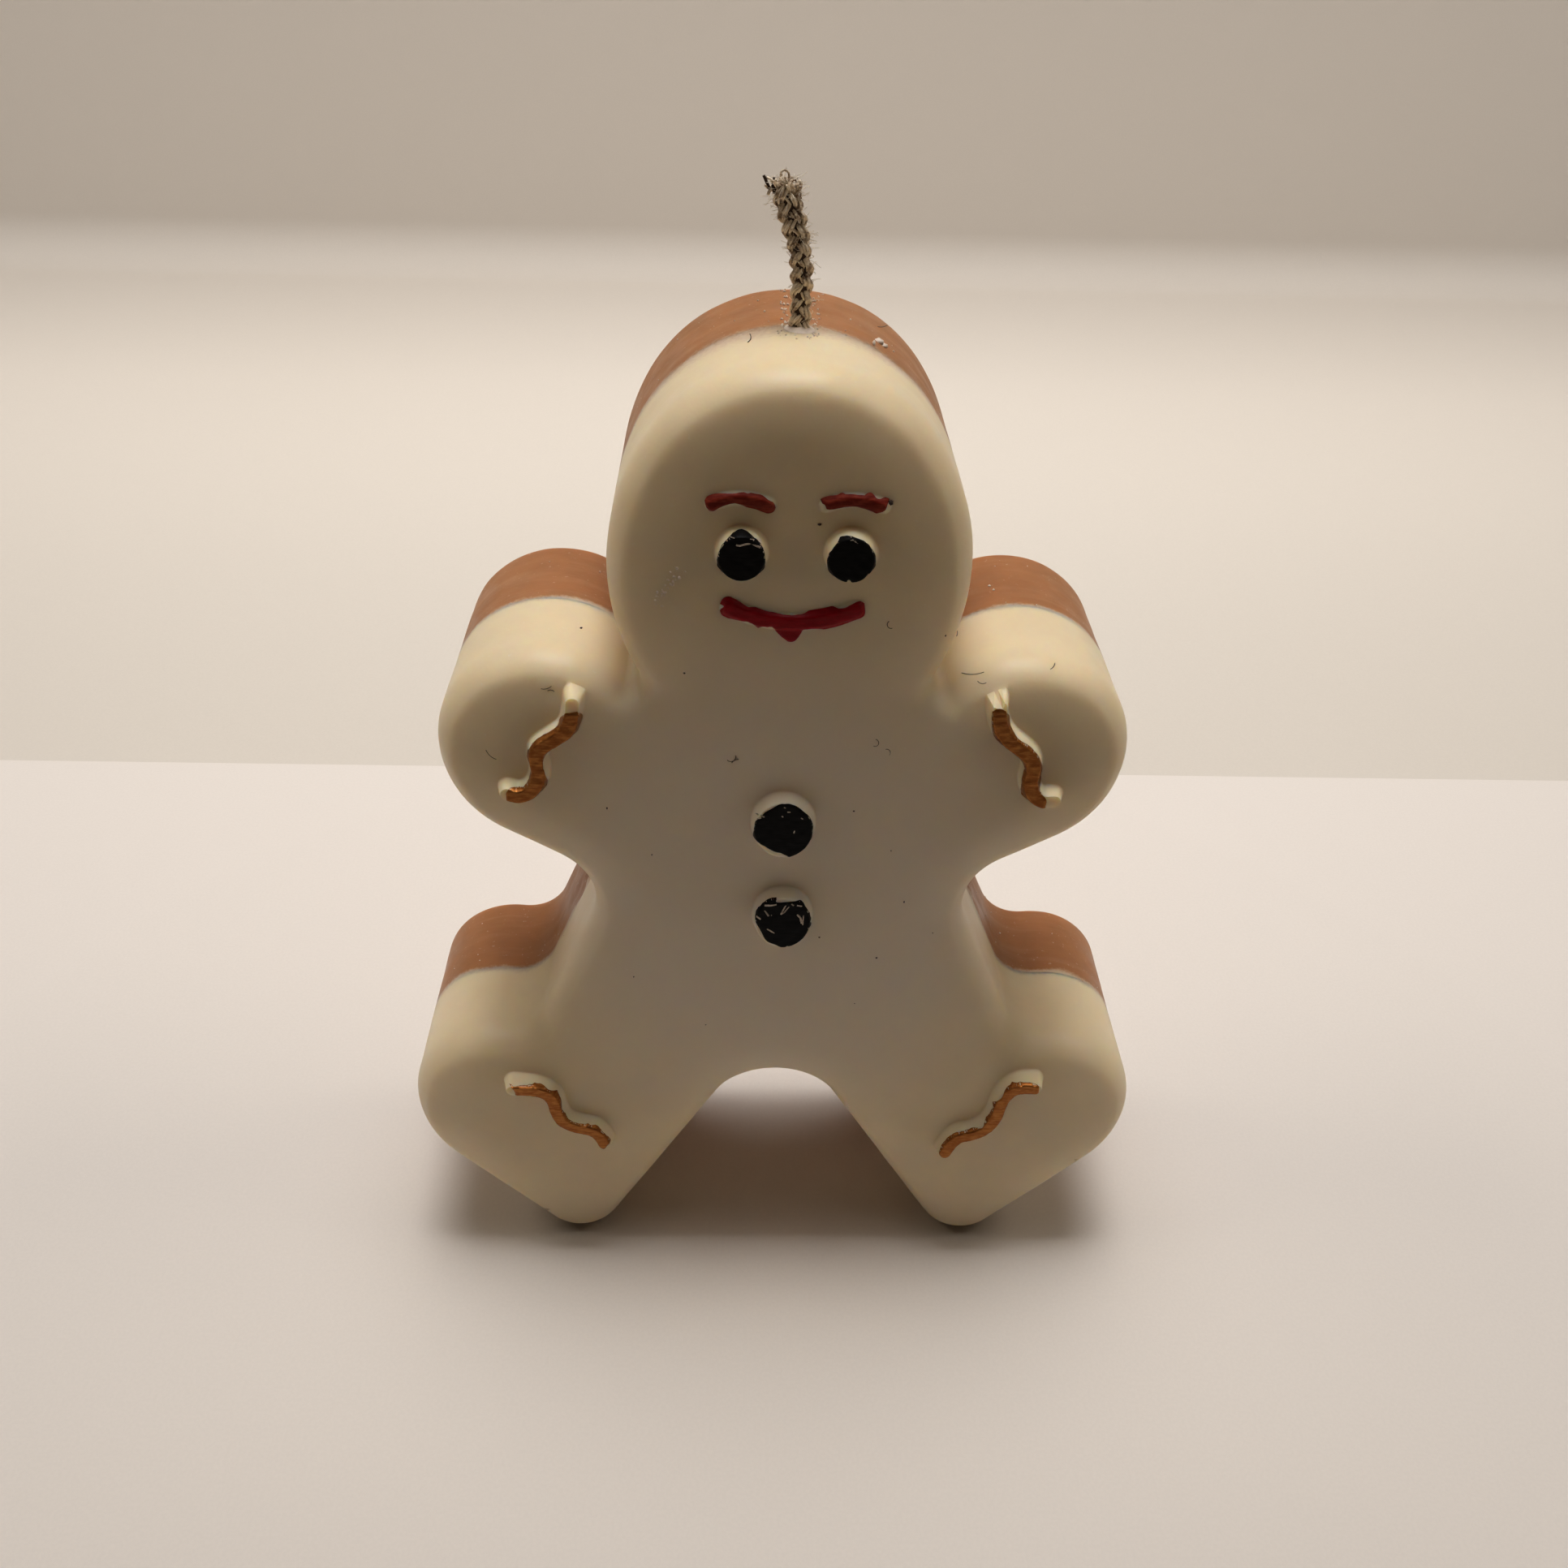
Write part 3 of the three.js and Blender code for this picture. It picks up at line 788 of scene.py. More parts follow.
def paint_coat(name, material, slot, seed):
    """A thin closed coat of paint over a raised part and a little way down its walls."""
    edge = ragged(painted_outline(name), COAT_STEP, COAT_ROUGHNESS, seed)
    flat, faces = fill(edge, grid_inside(edge, COAT_STEP, seed))
    depth = signed_distance(edge, flat)
    lumps = 1.0 + 0.3 * noise_at(upright(flat, 0.0), 0.5, seed + 2)
    thick = PAINT * np.sqrt(np.clip(depth / COAT_TAPER, 0.0, 1.0)) * lumps
    wax_y = face_y(flat)
    shell = np.concatenate([upright(flat, wax_y - thick - COAT_LIFT), upright(flat, wax_y + COAT_SINK)])
    count = len(flat)
    walls = [(a, b, b + count, a + count) for a, b in open_edges(faces)]
    under = [tuple(i + count for i in reversed(f)) for f in faces]
    add_piece(f"{name}_coat", shell, faces + under + walls, material, slot, (name,), sharp=50)


def open_edges(faces):
    """Edges with a face on one side only."""
    seen = {(a, b) for f in faces for a, b in zip(f, f[1:] + f[:1])}
    return [(b, a) for a, b in sorted(seen) if (b, a) not in seen]


def scuffs(material):
    """Bare scrapes in the black paint, as thin flat ribbons on it."""
    parts = []
    for width, *pixels in SCUFFS:
        line = on_wax(resample(np.array(pixels, float), 8))
        line[:, 1] -= PAINT + 0.01      # on top of the coat
        parts.append(tube(line, width / PIXELS_PER_MM / 2, 8, (0.0, 1.0, 0.0), 0.35))
    add_piece("scuffs", *join_parts(parts), material, "cream_wax")


# ---- Wick ----

WICK_HALF_WIDTH = 0.4       # how far a strand swings to each side of the wick's middle
WICK_HALF_DEPTH = 0.26
BRAID_PITCH = 3.1
STRANDS = 3
OUTER_FIBRES, INNER_FIBRES = 9, 3       # in each strand
OUTER_REACH, INNER_REACH = 0.26, 0.12   # of the fibres from their strand's middle
FIBRE_RADIUS = 0.1
FIBRE_TWIST = 6.5           # millimetres in which a fibre goes once round its strand
CORE_RADIUS = 0.4
CORE_SHORT = 0.9            # the core ends this far below the tip
FUZZ_HAIRS = 380
FUZZ_RADIUS = 0.016
# Loose ends at the cut tip, as a width in pixels and the pixels they run through.
DARK_ENDS = (
    (3.4, (941, 216), (944, 223), (948, 232)),
    (5.0, (955, 219), (953, 227), (955, 238)),
    (3.4, (967, 225), (968, 233), (966, 242)),
)
PALE_ENDS = (
    (2.6, (963, 217), (962, 213), (965, 210), (969, 210), (972, 214), (972, 220)),
    (2.4, (979, 221), (983, 228), (986, 236), (987, 245)),
    (3.6, (946, 240), (949, 234), (952, 232)),
    (4.4, (958, 240), (960, 228), (963, 218)),
    (4.6, (974, 240), (973, 228), (969, 219)),
)


def tube(path, radius, sides=6, across=(0.31, 0.87, 0.39), flat=1.0):
    """A closed tube along a path. Its radius is times `flat` along `across`."""
    along = unit(np.gradient(path, axis=0))
    side = unit(np.cross(along, np.array(across)))
    other = np.cross(along, side) * flat
    vertices = []
    for i, p in enumerate(path):
        for k in range(sides):
            turn = 2 * math.pi * k / sides
            vertices.append(p + radius * (math.cos(turn) * side[i] + math.sin(turn) * other[i]))
    return np.array(vertices), capped(len(path), sides)


def wick_middle(count):
    """The wick's middle line, from just under the crown, and the length along it at each point."""
    bends = ((0.0, -1.0), (0.0, 0.0)) + WICK_BENDS
    points = [(WICK_X + across, WICK_Y, TOP_Z + up) for across, up in bends]
    middle = spline(points, count)
    gaps = np.linalg.norm(np.diff(middle, axis=0), axis=1)
    return middle, np.concatenate([[0.0], np.cumsum(gaps)])


def wick_fibres(material):
    """Three plaited strands, each a loose flat bundle of fibres, which splay at the cut end."""
    rng = random.Random(5)
    middle, along = wick_middle(200)
    deep = np.array([0.0, 1.0, 0.0])
    wide = unit(np.cross(deep, unit(np.gradient(middle, axis=0))))
    full = 1.0 + 0.2 * smooth((along - 5.5) / 3.0)
    flare = smooth((along - along[-1] + 1.7) / 2.0)
    parts = []
    for strand in range(STRANDS):
        phase = 2 * math.pi * (along / BRAID_PITCH + strand / STRANDS)
        core = (middle + wide * (WICK_HALF_WIDTH * full * np.sin(phase))[:, None]
                + deep * (WICK_HALF_DEPTH * np.sin(2 * phase))[:, None])
        for fibre in range(OUTER_FIBRES + INNER_FIBRES):
            outer = fibre < OUTER_FIBRES
            start = 2 * math.pi * (fibre / (OUTER_FIBRES if outer else INNER_FIBRES))
            spin = start + 2 * math.pi * along / FIBRE_TWIST + rng.uniform(0, 0.5)
            uneven = 1 + 0.14 * np.sin(along * rng.uniform(1, 3) + rng.uniform(0, 6))
            reach = (OUTER_REACH if outer else INNER_REACH) * uneven * full * (1 + 0.7 * flare)
            lean = np.array([rng.uniform(-0.7, 0.3), rng.uniform(-0.4, 0.4), rng.uniform(-0.3, 0.25)])
            path = core + wide * (1.15 * reach * np.cos(spin))[:, None]
            path = path + deep * (0.85 * reach * np.sin(spin))[:, None]
            path = path + lean * (flare ** 2)[:, None]
            end = len(path) - int(rng.uniform(0, 12))
            parts.append(tube(path[:end], FIBRE_RADIUS * rng.uniform(0.7, 1.1), 6))
    parts += [loose_end(*row) for row in PALE_ENDS]
    add_piece("wick_braid", *join_parts(parts), material, "cotton_wick", ("wick",))


def loose_end(width, *pixels):
    line = on_plane(spline(pixels, 12), WICK_Y)
    return tube(line, width / WICK_PIXELS_PER_MM / 2, 6, (0.0, 1.0, 0.0), 0.6)


def wick_core(material):
    """Dark fibres deep in the plait, which show in its gaps and at its cut end."""
    middle, along = wick_middle(120)
    inside = middle[along < along[-1] - CORE_SHORT]
    parts = [tube(inside, CORE_RADIUS, 10)] + [loose_end(*row) for row in DARK_ENDS]
    add_piece("wick_core", *join_parts(parts), material, "cotton_wick")


def wick_fuzz(material):
    """Fine hairs that stand off the wick, thickest at its cut end."""
    rng = random.Random(8)
    middle, _ = wick_middle(200)
    parts = []
    for _ in range(FUZZ_HAIRS):
        at = int(22 + 177 * rng.random() ** 0.5)
        turn = rng.uniform(0, 2 * math.pi)
        out = np.array([math.cos(turn), math.sin(turn) * 0.7, rng.uniform(-0.4, 0.7)])
        start = middle[at] + out * 0.55
        curl = np.array([rng.uniform(-1, 1), rng.uniform(-1, 1), rng.uniform(-1, 1)])
        length = rng.uniform(0.2, 0.65) * (1.4 if at > 170 else 1.0)
        t = np.linspace(0, 1, 7)[:, None]
        path = start + out * t * length + curl * t ** 2 * length * 0.7
        parts.append(tube(path, FUZZ_RADIUS, 3))
    add_piece("wick_fuzz", *join_parts(parts), material, "cotton_wick")


# ---- Small marks: crumbs of wax, lint and specks ----


def crumb(centre, size, rng):
    """A small uneven lump."""
    turns = np.array([rng.uniform(0.6, 1.4) for _ in range(3)])
    golden = (1 + math.sqrt(5)) / 2
    corners = []
    for a in (-1, 1):
        for b in (-golden, golden):
            corners += [(0, a, b), (a, b, 0), (b, 0, a)]
    corners = unit(np.array(corners, float))
    corners = corners * np.array([[rng.uniform(0.75, 1.25)] for _ in corners]) * turns * size
    bm = bmesh.new()
    for c in corners:
        bm.verts.new(Vector(c))
    bmesh.ops.convex_hull(bm, input=bm.verts)
    bm.verts.index_update()
    vertices = np.array([tuple(v.co) for v in bm.verts]) + centre
    faces = [tuple(v.index for v in f.verts) for f in bm.faces]
    bm.free()
    return vertices, faces


def crown_z(x):
    """Height of the crown's wax at x near the middle."""
    return TOP_Z - x * x / (2 * HALF_OUTLINE[0][0])


# Pale crumbs on the crown, as pixels: single ones, and the bands on both sides of the wick's foot.
CROWN_CRUMBS = (
    (1009, 366), (1009, 387), (1004, 399), (1048, 394), (934, 370), (942, 384), (1062, 372), (905, 395),
)
# The bands: left, right, top, bottom, and how many crumbs.
CRUMB_BANDS = ((962, 971, 352, 412, 34), (999, 1010, 362, 414, 26), (958, 1016, 400, 418, 26))
# Bigger flakes on the brown tops: pixel across, down and size in millimetres.
FLAKES = (
    (1083, 421, 0.34), (1089, 426, 0.24), (1077, 424, 0.2), (1219, 722, 0.15), (1224, 727, 0.1),
    (1214, 1105, 0.09),
)
# A rough scar on the left cheek runs between these pixels.
SCAR = ((838, 702), (808, 743))
SCAR_CRUMBS = 34
SCAR_SPREAD = 3.2           # pixels
EDGE_CRUMBS = 60            # along the upper sides
CRUMB_SIZES = (0.04, 0.11)
EDGE_CRUMB_SIZES = (0.03, 0.09)
COLLAR = ((0.5, 0.16), (0.75, 0.14), (0.9, 0.05), (1.05, -0.02), (1.15, -0.15))     # reach and height
COLLAR_SIDES = 60


def pale_crumbs(material):
    """Crumbs of pale wax round the wick and scattered on the brown tops, and the scar on the cheek."""
    rng = random.Random(21)
    pixels = list(CROWN_CRUMBS)
    for left, right, top, bottom, count in CRUMB_BANDS:
        pixels += [(rng.uniform(left, right), rng.uniform(top, bottom)) for _ in range(count)]
    places = landed(on_wax(pixels, THICKNESS))
    parts = [crumb(place, rng.uniform(*CRUMB_SIZES), rng) for place in places]
    flakes = on_wax([(across, down) for across, down, _ in FLAKES], THICKNESS)
    parts += [crumb(place, size, rng) for place, (_, _, size) in zip(flakes, FLAKES)]
    scar = []
    for _ in range(SCAR_CRUMBS):
        share = rng.random()
        scar.append([a + share * (b - a) + rng.gauss(0.0, SCAR_SPREAD) for a, b in zip(*SCAR)])
    places = landed(on_wax(scar, THICKNESS))
    parts += [crumb(place, rng.uniform(*CRUMB_SIZES), rng) for place in places]
    upper = [i for i, n in enumerate(OUTLINE_NORMALS) if n[1] > 0.15]
    for _ in range(EDGE_CRUMBS):
        point = OUTLINE[rng.choice(upper)]
        place = np.array([point[0], rng.uniform(LAYER_Y - 1.0, BACK_Y - 0.4), point[1]])
        parts.append(crumb(place, rng.uniform(*EDGE_CRUMB_SIZES), rng))
    add_piece("pale_crumbs", *join_parts(parts), material, "cream_wax")


def wick_collar(material):
    """A low uneven rim of wax where the wick comes out of the crown."""
    turn = np.linspace(0.0, 2 * math.pi, COLLAR_SIDES + 1)[:-1]
    rings = []
    for reach, height in COLLAR:
        x = WICK_X + reach * np.cos(turn)
        y = WICK_Y + 1.1 * reach * np.sin(turn)
        uneven = 1.0 + 0.5 * noise_at(np.stack([x, y, np.zeros(COLLAR_SIDES)], 1), 0.45, 61)
        rings.append(np.stack([x, y, crown_z(x) + height * uneven], 1))
    faces = capped(len(COLLAR), COLLAR_SIDES)
    add_piece("wick_collar", np.concatenate(rings), faces, material, "cream_wax")


# Lint on the wax, in pixels: across, down, length, heading and curl in degrees.
LINT = (
    (895, 935, 16, -55, 150), (901, 941, 10, 60, -60), (1075, 918, 15, -40, 200), (1090, 924, 12, 30, -160),
    (1097, 765, 14, 200, 170), (665, 848, 14, -20, 60), (674, 852, 9, 40, -80), (598, 922, 18, -70, 50),
    (1182, 828, 28, -20, 40), (1204, 838, 12, -60, 90), (1293, 825, 10, 20, 60), (1178, 785, 12, 60, 70),
    (1080, 402, 14, -20, 60), (920, 422, 12, 20, 100),
)
LINT_POINTS = 10
LINT_RADIUS = 0.03
# Dark specks on the face: x, z, size.
FACE_SPECKS = (
    (6.4, 71.6, 0.16), (1.8, 70.0, 0.12), (-13.0, 47.2, 0.09), (-7.2, 58.6, 0.08), (5.2, 47.2, 0.08),
    (8.2, 43.6, 0.07), (3.1, 35.2, 0.08), (7.7, 33.2, 0.07), (9.5, 38.8, 0.09), (-5.8, 26.0, 0.06),
    (-11.5, 31.0, 0.09), (6.2, 28.4, 0.06), (-9.8, 43.0, 0.07), (12.0, 35.5, 0.06), (-14.6, 60.3, 0.08),
    (10.9, 61.5, 0.08),
)


def lint(material):
    parts = []
    for across, down, length, heading, curl in LINT:
        turn = np.radians(heading + curl * np.linspace(0, 1, LINT_POINTS))
        right = np.cumsum(np.cos(turn)) * length / (LINT_POINTS - 1)
        up = np.cumsum(np.sin(turn)) * length / (LINT_POINTS - 1)
        pixels = np.stack([across + right, down - up], 1)
        hair = unbroken(landed(on_wax(pixels, THICKNESS)))
        if len(hair) > 1:
            parts.append(tube(hair, LINT_RADIUS, 4))
    add_piece("lint", *join_parts(parts), material, "cotton_wick")


def specks(material):
    rng = random.Random(33)
    parts = []
    for x, z, size in FACE_SPECKS:
        y = float(face_y(np.array([[x, z]]))[0])
        parts.append(crumb(np.array([x, y, z]), size, rng))
    add_piece("specks", *join_parts(parts), material, "rust_paint")


# ---- Materials ----


NOISE_ROUGHNESS = 0.55


class Look:
    """A procedural material around one Principled shader."""

    def __init__(self, name, **values):
        self.material = bpy.data.materials.new(name)
        self.material.use_nodes = True
        self.tree = self.material.node_tree
        self.shader = self.tree.nodes["Principled BSDF"]
        self.place = self.node("ShaderNodeTexCoord").outputs["Object"]
        for socket, value in values.items():
            self.shader.inputs[socket.replace("_", " ")].default_value = value

    def node(self, kind, inputs=None, **settings):
        made = self.tree.nodes.new(kind)
        for key, value in settings.items():
            setattr(made, key, value)
        for key, value in (inputs or {}).items():
            if isinstance(value, bpy.types.NodeSocket):
                self.tree.links.new(value, made.inputs[key])
            else:
                made.inputs[key].default_value = value
        return made

    def link(self, output, socket):
        self.tree.links.new(output, self.shader.inputs[socket])

    def noise(self, size_mm, detail=3.0, place=None):
        """Noise with features about `size_mm` across, around 0.5."""
        made = self.node("ShaderNodeTexNoise", {"Vector": place or self.place, "Scale": 1.0 / (size_mm * MM),
                                                "Detail": detail, "Roughness": NOISE_ROUGHNESS})
        return made.outputs["Fac"]

    def ramp(self, value, low, high, to_low=0.0, to_high=1.0):
        made = self.node("ShaderNodeMapRange", {"Value": value, "From Min": low, "From Max": high,
                                                "To Min": to_low, "To Max": to_high})
        made.interpolation_type = "SMOOTHSTEP"
        return made.outputs["Result"]

    def math(self, kind, a, b=0.0):
        return self.node("ShaderNodeMath", {0: a, 1: b}, operation=kind).outputs[0]

    def mix(self, factor, a, b):
        made = self.node("ShaderNodeMix", data_type="RGBA", blend_type="MIX")
        for index, value in ((0, factor), (6, a), (7, b)):
            if isinstance(value, bpy.types.NodeSocket):
                self.tree.links.new(value, made.inputs[index])
            else:
                made.inputs[index].default_value = value if index == 0 else (*value, 1.0)
        return made.outputs[2]

    def stretch(self, scale):
        return self.node("ShaderNodeMapping", {"Vector": self.place, "Scale": scale}).outputs["Vector"]

    def bump(self, height, distance_mm, strength=1.0, under=None):
        inputs = {"Height": height, "Distance": distance_mm * MM, "Strength": strength}
        if under:
            inputs["Normal"] = under
        return self.node("ShaderNodeBump", inputs).outputs["Normal"]


CREAM = (0.825, 0.695, 0.475)
# Painted shade tint: a greyer cream for the middle of the torso, the colour its shade takes on.
TORSO_SHADE_CREAM = (0.78, 0.685, 0.545)
TORSO_SQUASH = (1.0, 0.0, 0.8)
TORSO = (0.0, 0.0, 0.031)       # the middle of the painted greyer shade tint, in metres after that squash
TORSO_REACH = (0.010, 0.024)    # it fades between these distances from there
# Painted shade: near the floor the cream darkens towards this colour, where the feet stand in shade.
FOOT_SHADE = (0.42, 0.34, 0.26)
FOOT_SHADE_HEIGHT = 0.008            # metres
BROWN = (0.43, 0.197, 0.082)
STREAKS = (0.58, 0.36, 0.22)
JOINT_HAZE = (0.74, 0.62, 0.50)
BLOOM = (0.86, 0.79, 0.68)
JOINT_BLUR = 0.6 * MM
JOINT_WANDER = 1.6 * MM
CROWN_HEIGHTS = (0.072, 0.078)  # between these heights in metres the joint grows blurrier
CROWN_BLUR = 0.9 * MM           # by this much, and the brown laps forward by as much


def times(colour, share):
    return tuple(c * share for c in colour)


def brown_share(look, place, wander):
    """0 in the cream layer and 1 in the brown one, blurred across their joint."""
    crown = look.math("MULTIPLY", look.ramp(place["Z"], *CROWN_HEIGHTS), CROWN_BLUR)
    blur = look.math("ADD", crown, JOINT_BLUR)
    grain = look.math("MULTIPLY", look.math("SUBTRACT", look.noise(0.3, 3.0), 0.5), blur)
    depth = look.math("SUBTRACT", place["Y"], LAYER_Y * MM)
    depth = look.math("ADD", depth, look.math("ADD", wander, grain))
    depth = look.math("ADD", depth, crown)
    return look.ramp(look.math("DIVIDE", depth, blur), -1.0, 1.0)


def cream_colour(look, place, wander):
    """Cream wax, with painted shade: greyer in the middle of the torso and darker towards the floor at the
    feet.
    """
    cream = look.mix(look.ramp(look.noise(7.0), 0.35, 0.65), CREAM, times(CREAM, 0.955))
    squashed = look.stretch(TORSO_SQUASH)
    from_torso = look.node("ShaderNodeVectorMath", {0: squashed, 1: TORSO}, operation="DISTANCE")
    # Painted shade tint: 1 in the middle of the torso, fading out between the reaches above.
    torso_shade = look.ramp(from_torso.outputs["Value"], *TORSO_REACH, 1.0, 0.0)
    height = look.math("ADD", place["Z"], look.math("MULTIPLY", wander, 0.6))
    # Painted shade: darker towards the floor, up to 0.3 of the way to the darker colour at the bottom.
    foot_shade = look.ramp(height, 0.0, FOOT_SHADE_HEIGHT, 0.3, 0.0)
    return look.mix(foot_shade, look.mix(torso_shade, cream, TORSO_SHADE_CREAM), FOOT_SHADE)


def brown_colour(look, streak):
    """Brown wax with paler streaks."""
    brown = look.mix(look.ramp(look.noise(3.0), 0.3, 0.7), BROWN, times(BROWN, 0.87))
    return look.mix(look.ramp(streak, 0.45, 0.75, 0.0, 0.22), brown, STREAKS)


def wax(name):
    """Cast wax, coloured by depth: cream in front of the joint, brown behind it, and hazy at it."""
    look = Look(name, Roughness=0.42, Subsurface_Weight=1.0, Subsurface_Scale=0.0011, IOR=1.44)
    look.shader.subsurface_method = "RANDOM_WALK"
    look.shader.inputs["Subsurface Radius"].default_value = (1.0, 0.75, 0.42)
    place = look.node("ShaderNodeSeparateXYZ", {"Vector": look.place}).outputs
    wander = look.math("MULTIPLY", look.math("SUBTRACT", look.noise(5.0, 4.0), 0.5), JOINT_WANDER)
    streak = look.noise(1.4, 3.0, look.stretch((0.12, 1.0, 0.12)))
    share = brown_share(look, place, wander)
    colour = look.mix(share, cream_colour(look, place, wander), brown_colour(look, streak))
    haze = look.math("MULTIPLY", look.math("MULTIPLY", share, look.math("SUBTRACT", 1.0, share)), 1.6)
    colour = look.mix(haze, colour, JOINT_HAZE)
    bloom = look.ramp(look.noise(0.35, 2.0), 0.66, 0.78, 0.0, 0.3)
    look.link(look.mix(bloom, colour, BLOOM), "Base Color")
    fine = look.bump(look.noise(0.22, 2.0), 0.02, 0.35)
    slow = look.bump(look.noise(1.8, 3.0), 0.08, 0.3, fine)
    look.link(look.bump(streak, 0.05, 0.25, slow), "Normal")
    look.link(look.ramp(look.noise(2.4), 0.3, 0.7, 0.38, 0.5), "Roughness")
    return look.material


def paint_look(name, colour, light, roughness, gloss=0.3, metallic=0.0):
    """Brushed paint: streaks along the brush's way, thin places and a slightly lumpy coat."""
    look = Look(name, Roughness=roughness, Metallic=metallic, Specular_IOR_Level=gloss)
    along = look.stretch((0.35, 1.0, 1.6))
    streak = look.ramp(look.noise(0.3, 3.0, along), 0.4, 0.68)
    thin = look.ramp(look.noise(0.7, 2.0), 0.45, 0.75, 0.0, 0.6)
    colour = look.mix(streak, colour, light)
    look.link(look.mix(thin, colour, light), "Base Color")
    look.link(look.bump(look.noise(0.25, 3.0, along), 0.05, 0.5), "Normal")
    return look.material


def cotton(name, colour, dark, light):
    """Waxed cotton: grey-beige fibres, dirtier and browner in patches."""
    look = Look(name, Roughness=0.7, Specular_IOR_Level=0.25)
    patch = look.ramp(look.noise(0.8, 3.0), 0.48, 0.62)
    patched = look.mix(patch, colour, dark)
    grain = look.ramp(look.noise(0.16, 2.0), 0.3, 0.7, 0.0, 0.6)
    look.link(look.mix(grain, patched, light), "Base Color")
    look.link(look.bump(look.noise(0.08, 2.0), 0.03, 0.6), "Normal")
    return look.material


def plain_look(name, colour, roughness=0.6, speckle=0.1):
    look = Look(name, Roughness=roughness)
    speckled = look.mix(look.ramp(look.noise(0.3), 0.35, 0.65), times(colour, 1 - speckle), colour)
    look.link(speckled, "Base Color")
    return look.material


# ---- The candle ----

BODY_CREASE = 40            # degrees

body_wax = wax("candle_wax")
braid_cotton = cotton("waxed_cotton", (0.82, 0.69, 0.53), (0.22, 0.12, 0.065), (0.94, 0.83, 0.66))
dark_cotton = cotton("dark_cotton", (0.06, 0.032, 0.018), (0.03, 0.018, 0.012), (0.10, 0.06, 0.035))
fluff = cotton("cotton_fluff", (0.93, 0.83, 0.68), (0.74, 0.60, 0.44), (0.95, 0.89, 0.77))
black = paint_look("black_paint", (0.003, 0.0028, 0.003), (0.006, 0.005, 0.005), 0.5, 0.1)
rust = paint_look("rust_paint", (0.16, 0.012, 0.005), (0.27, 0.042, 0.02), 0.5, 0.12)
red = paint_look("red_paint", (0.26, 0.0025, 0.007), (0.36, 0.006, 0.013), 0.4, 0.15)
gold = paint_look("gold_paint", (0.27, 0.092, 0.018), (0.42, 0.175, 0.045), 0.36, 0.3, metallic=0.7)
dust = plain_look("dark_dust", (0.05, 0.025, 0.018))
hair = plain_look("dark_lint", (0.035, 0.03, 0.028))
crumb_wax = plain_look("wax_crumbs", (0.80, 0.68, 0.58), 0.5)
scrape_wax = plain_look("scraped_wax", (0.62, 0.52, 0.42), 0.6, 0.5)

add_piece("cream_body", *front_layer(), body_wax, "cream_wax", ("front_wax",), BODY_CREASE)
add_piece("brown_body", *back_layer(), body_wax, "brown_wax", ("back_wax",), BODY_CREASE)
PAINTS = {
    "eye": (black, "black_paint"), "button": (black, "black_paint"), "brow": (rust, "rust_paint"),
    "mouth": (red, "red_paint"), "arm": (gold, "gold_paint"), "leg": (gold, "gold_paint"),
}
for seed, coated in enumerate(RAISED, 11):
    paint_coat(coated, *PAINTS[coated.split("_")[0]], seed)
scuffs(scrape_wax)
wick_fibres(braid_cotton)
wick_core(dark_cotton)
wick_fuzz(fluff)
wick_collar(crumb_wax)
pale_crumbs(crumb_wax)
lint(hair)
specks(dust)


# ---- Floor, backdrop, lights and camera ----


def stage_sheet(name, profile, half_width, material):
    """A sheet swept along X over a profile of (y, z) points in millimetres."""
    vertices, faces = [], []
    for y, z in profile:
        vertices += [(-half_width * MM, y * MM, z * MM), (half_width * MM, y * MM, z * MM)]
    for i in range(len(profile) - 1):
        faces.append((2 * i, 2 * i + 1, 2 * i + 3, 2 * i + 2))
    mesh = bpy.data.meshes.new(name)
    mesh.from_pydata(vertices, [], faces)
    mesh.shade_smooth()
    mesh.materials.append(material)
    sheet = bpy.data.objects.new(name, mesh)
    bpy.context.scene.collection.objects.link(sheet)


def area_light(name, place, target, size, power, colour, spread):
    """A soft light: millimetres, watts, and its spread in degrees."""
    data = bpy.data.lights.new(name, "AREA")
    data.shape = "RECTANGLE"
    data.size, data.size_y = size[0] * MM, size[1] * MM
    data.energy = power
    data.color = colour
    data.spread = math.radians(spread)
    lamp = bpy.data.objects.new(name, data)
    lamp.location = Vector(place) * MM
    lamp.rotation_euler = (Vector(target) - Vector(place)).to_track_quat("-Z", "Y").to_euler()
    bpy.context.scene.collection.objects.link(lamp)


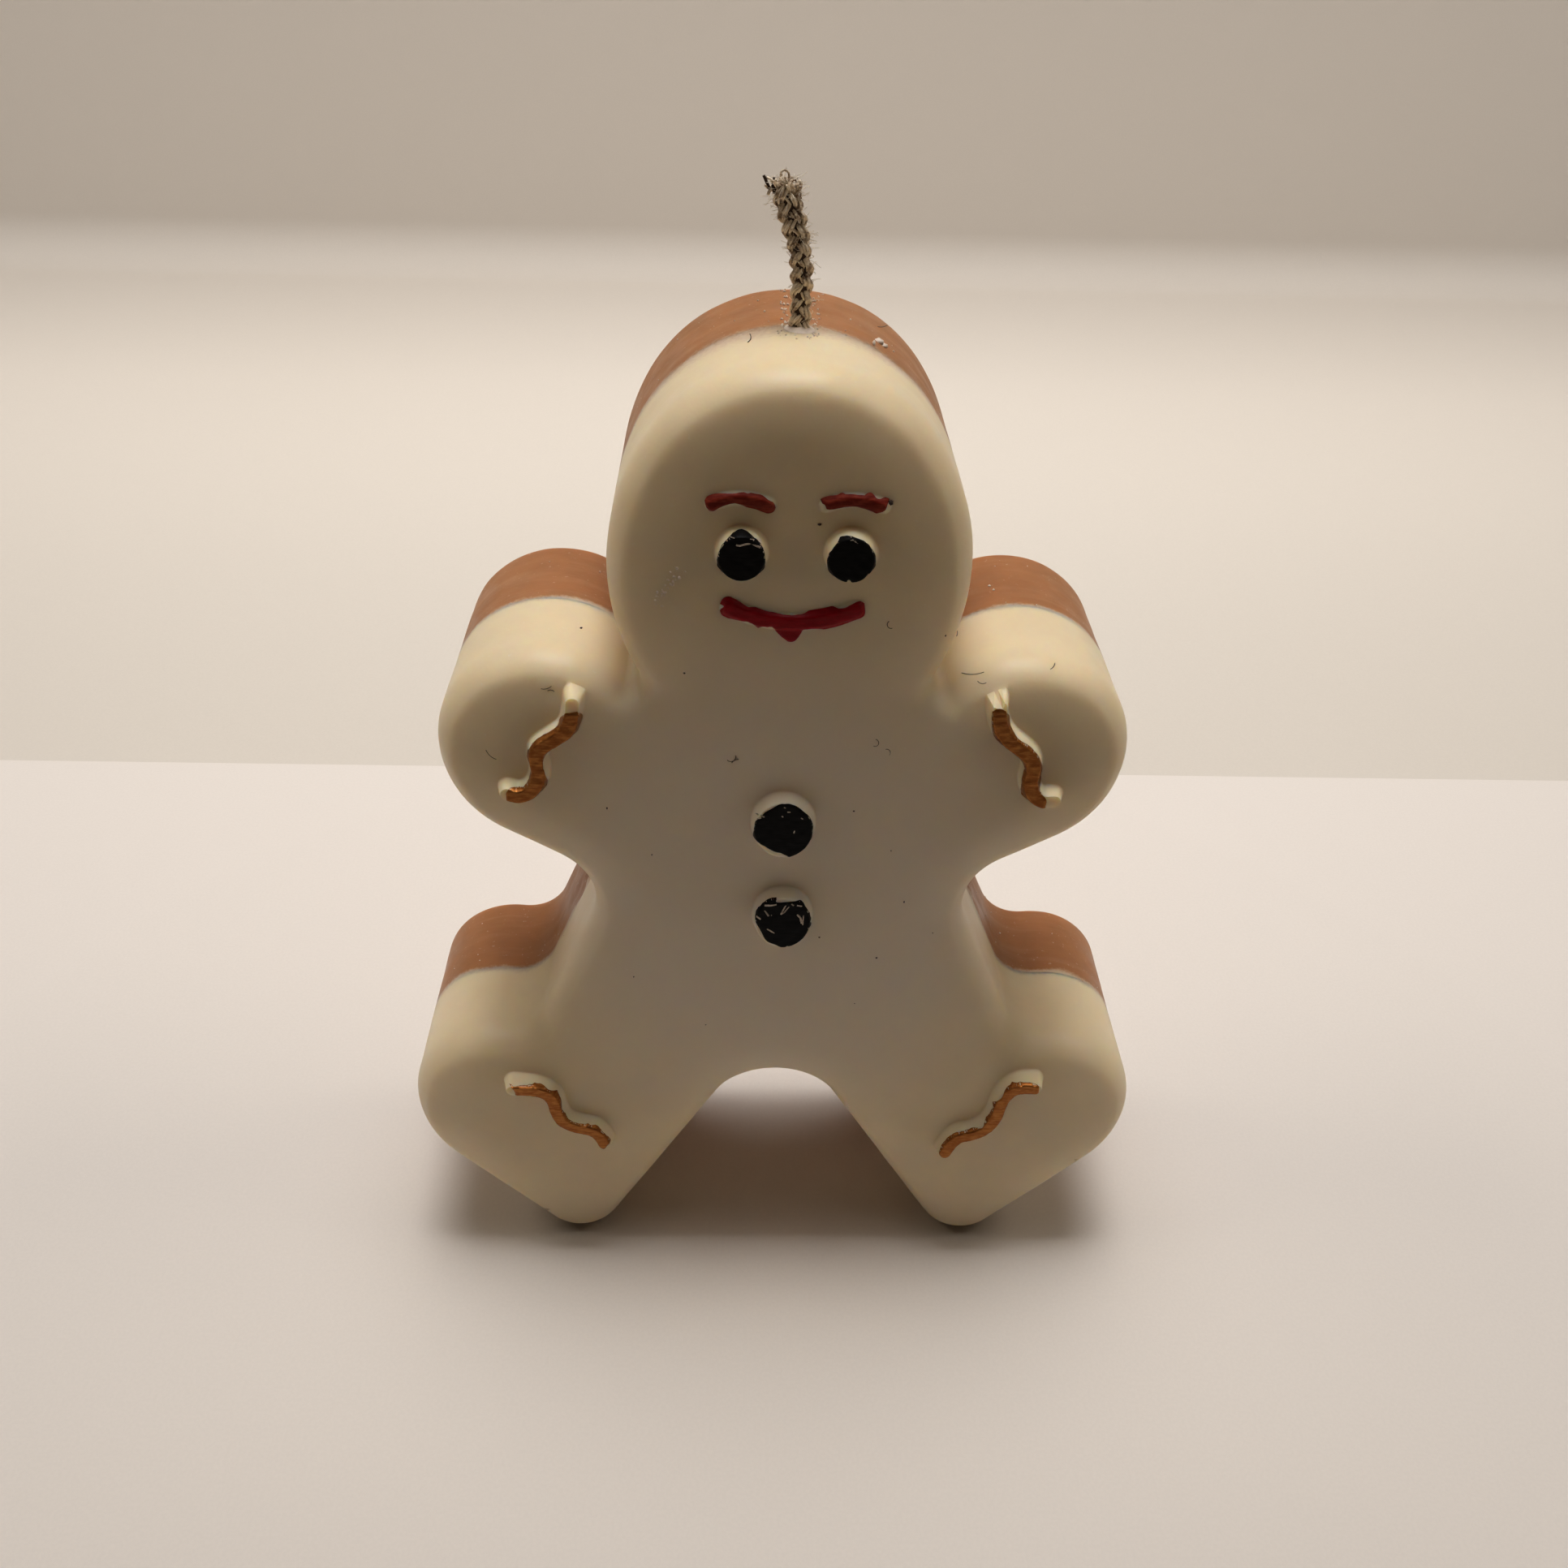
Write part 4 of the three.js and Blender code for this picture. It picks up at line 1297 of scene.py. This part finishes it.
CARD_FRONT_Y, CARD_BACK_Y = -70, 69.5   # the pale card under the candle
CARD_HALF_WIDTH = 500
CARD_THICKNESS = 0.4
BACKDROP_FRONT_Y = -500
BACKDROP_HALF_WIDTH = 900
WALL_Y = 300                # where the backdrop turns up
WALL_BEND = 12
WALL_TOP = 400
floor_look = plain_look("pale_card", (0.73, 0.672, 0.62), 0.7, 0.02)
wall_look = plain_look("pale_backdrop", (0.64, 0.585, 0.52), 0.75, 0.02)
stage_sheet("floor", [(CARD_FRONT_Y, 0), (CARD_BACK_Y, 0)], CARD_HALF_WIDTH, floor_look)
profile = [(BACKDROP_FRONT_Y, -CARD_THICKNESS)]
for turn in np.linspace(0, math.pi / 2, 12):
    profile.append((WALL_Y + WALL_BEND * math.sin(turn), WALL_BEND * (1 - math.cos(turn)) - CARD_THICKNESS))
profile.append((WALL_Y + WALL_BEND, WALL_TOP))
stage_sheet("backdrop", profile, BACKDROP_HALF_WIDTH, wall_look)

area_light("main", (0, 58, 900), (0, 95, 0), (560, 200), 0.47, (0.97, 0.98, 1.0), 44)
area_light("rear", (0, 290, 900), (0, 120, 0), (900, 260), 0.29, (1.0, 0.97, 0.94), 36)
area_light("upper_front", (0, -150, 880), (0, -20, 0), (420, 160), 0.02, (1.0, 0.93, 0.86), 40)
area_light("backdrop_wash", (0, 60, 300), (0, 308, 30), (900, 100), 0.37, (1.0, 0.98, 0.97), 70)
for side in (-1, 1):
    area_light(f"side_{side}", (side * 480, 30, 560), (0, 30, 0), (300, 160), 0.095, (1.0, 0.92, 0.80), 60)
    area_light(f"cheek_{side}", (side * 280, -110, 120), (0, 0, 84), (80, 80), 0.0027, (1.0, 0.80, 0.58), 32)

ROOM_COLOUR = (0.86, 0.80, 0.74, 1.0)
ROOM_STRENGTH = 0.012
VIEW_GAMMA = 0.87
world = bpy.data.worlds.new("room")
world.use_nodes = True
world.node_tree.nodes["Background"].inputs["Color"].default_value = ROOM_COLOUR
world.node_tree.nodes["Background"].inputs["Strength"].default_value = ROOM_STRENGTH
bpy.context.scene.world = world
bpy.context.scene.view_settings.view_transform = "Standard"
bpy.context.scene.view_settings.gamma = VIEW_GAMMA

camera = bpy.data.objects.new("camera", bpy.data.cameras.new("camera"))
camera.data.lens = LENS
camera.data.sensor_width = SENSOR
camera.data.sensor_fit = "HORIZONTAL"
camera.data.clip_start = 0.01
camera.rotation_euler = CAMERA_TURN.to_euler()
camera.location = Vector(CAMERA_AT) * MM
bpy.context.scene.collection.objects.link(camera)
bpy.context.scene.camera = camera
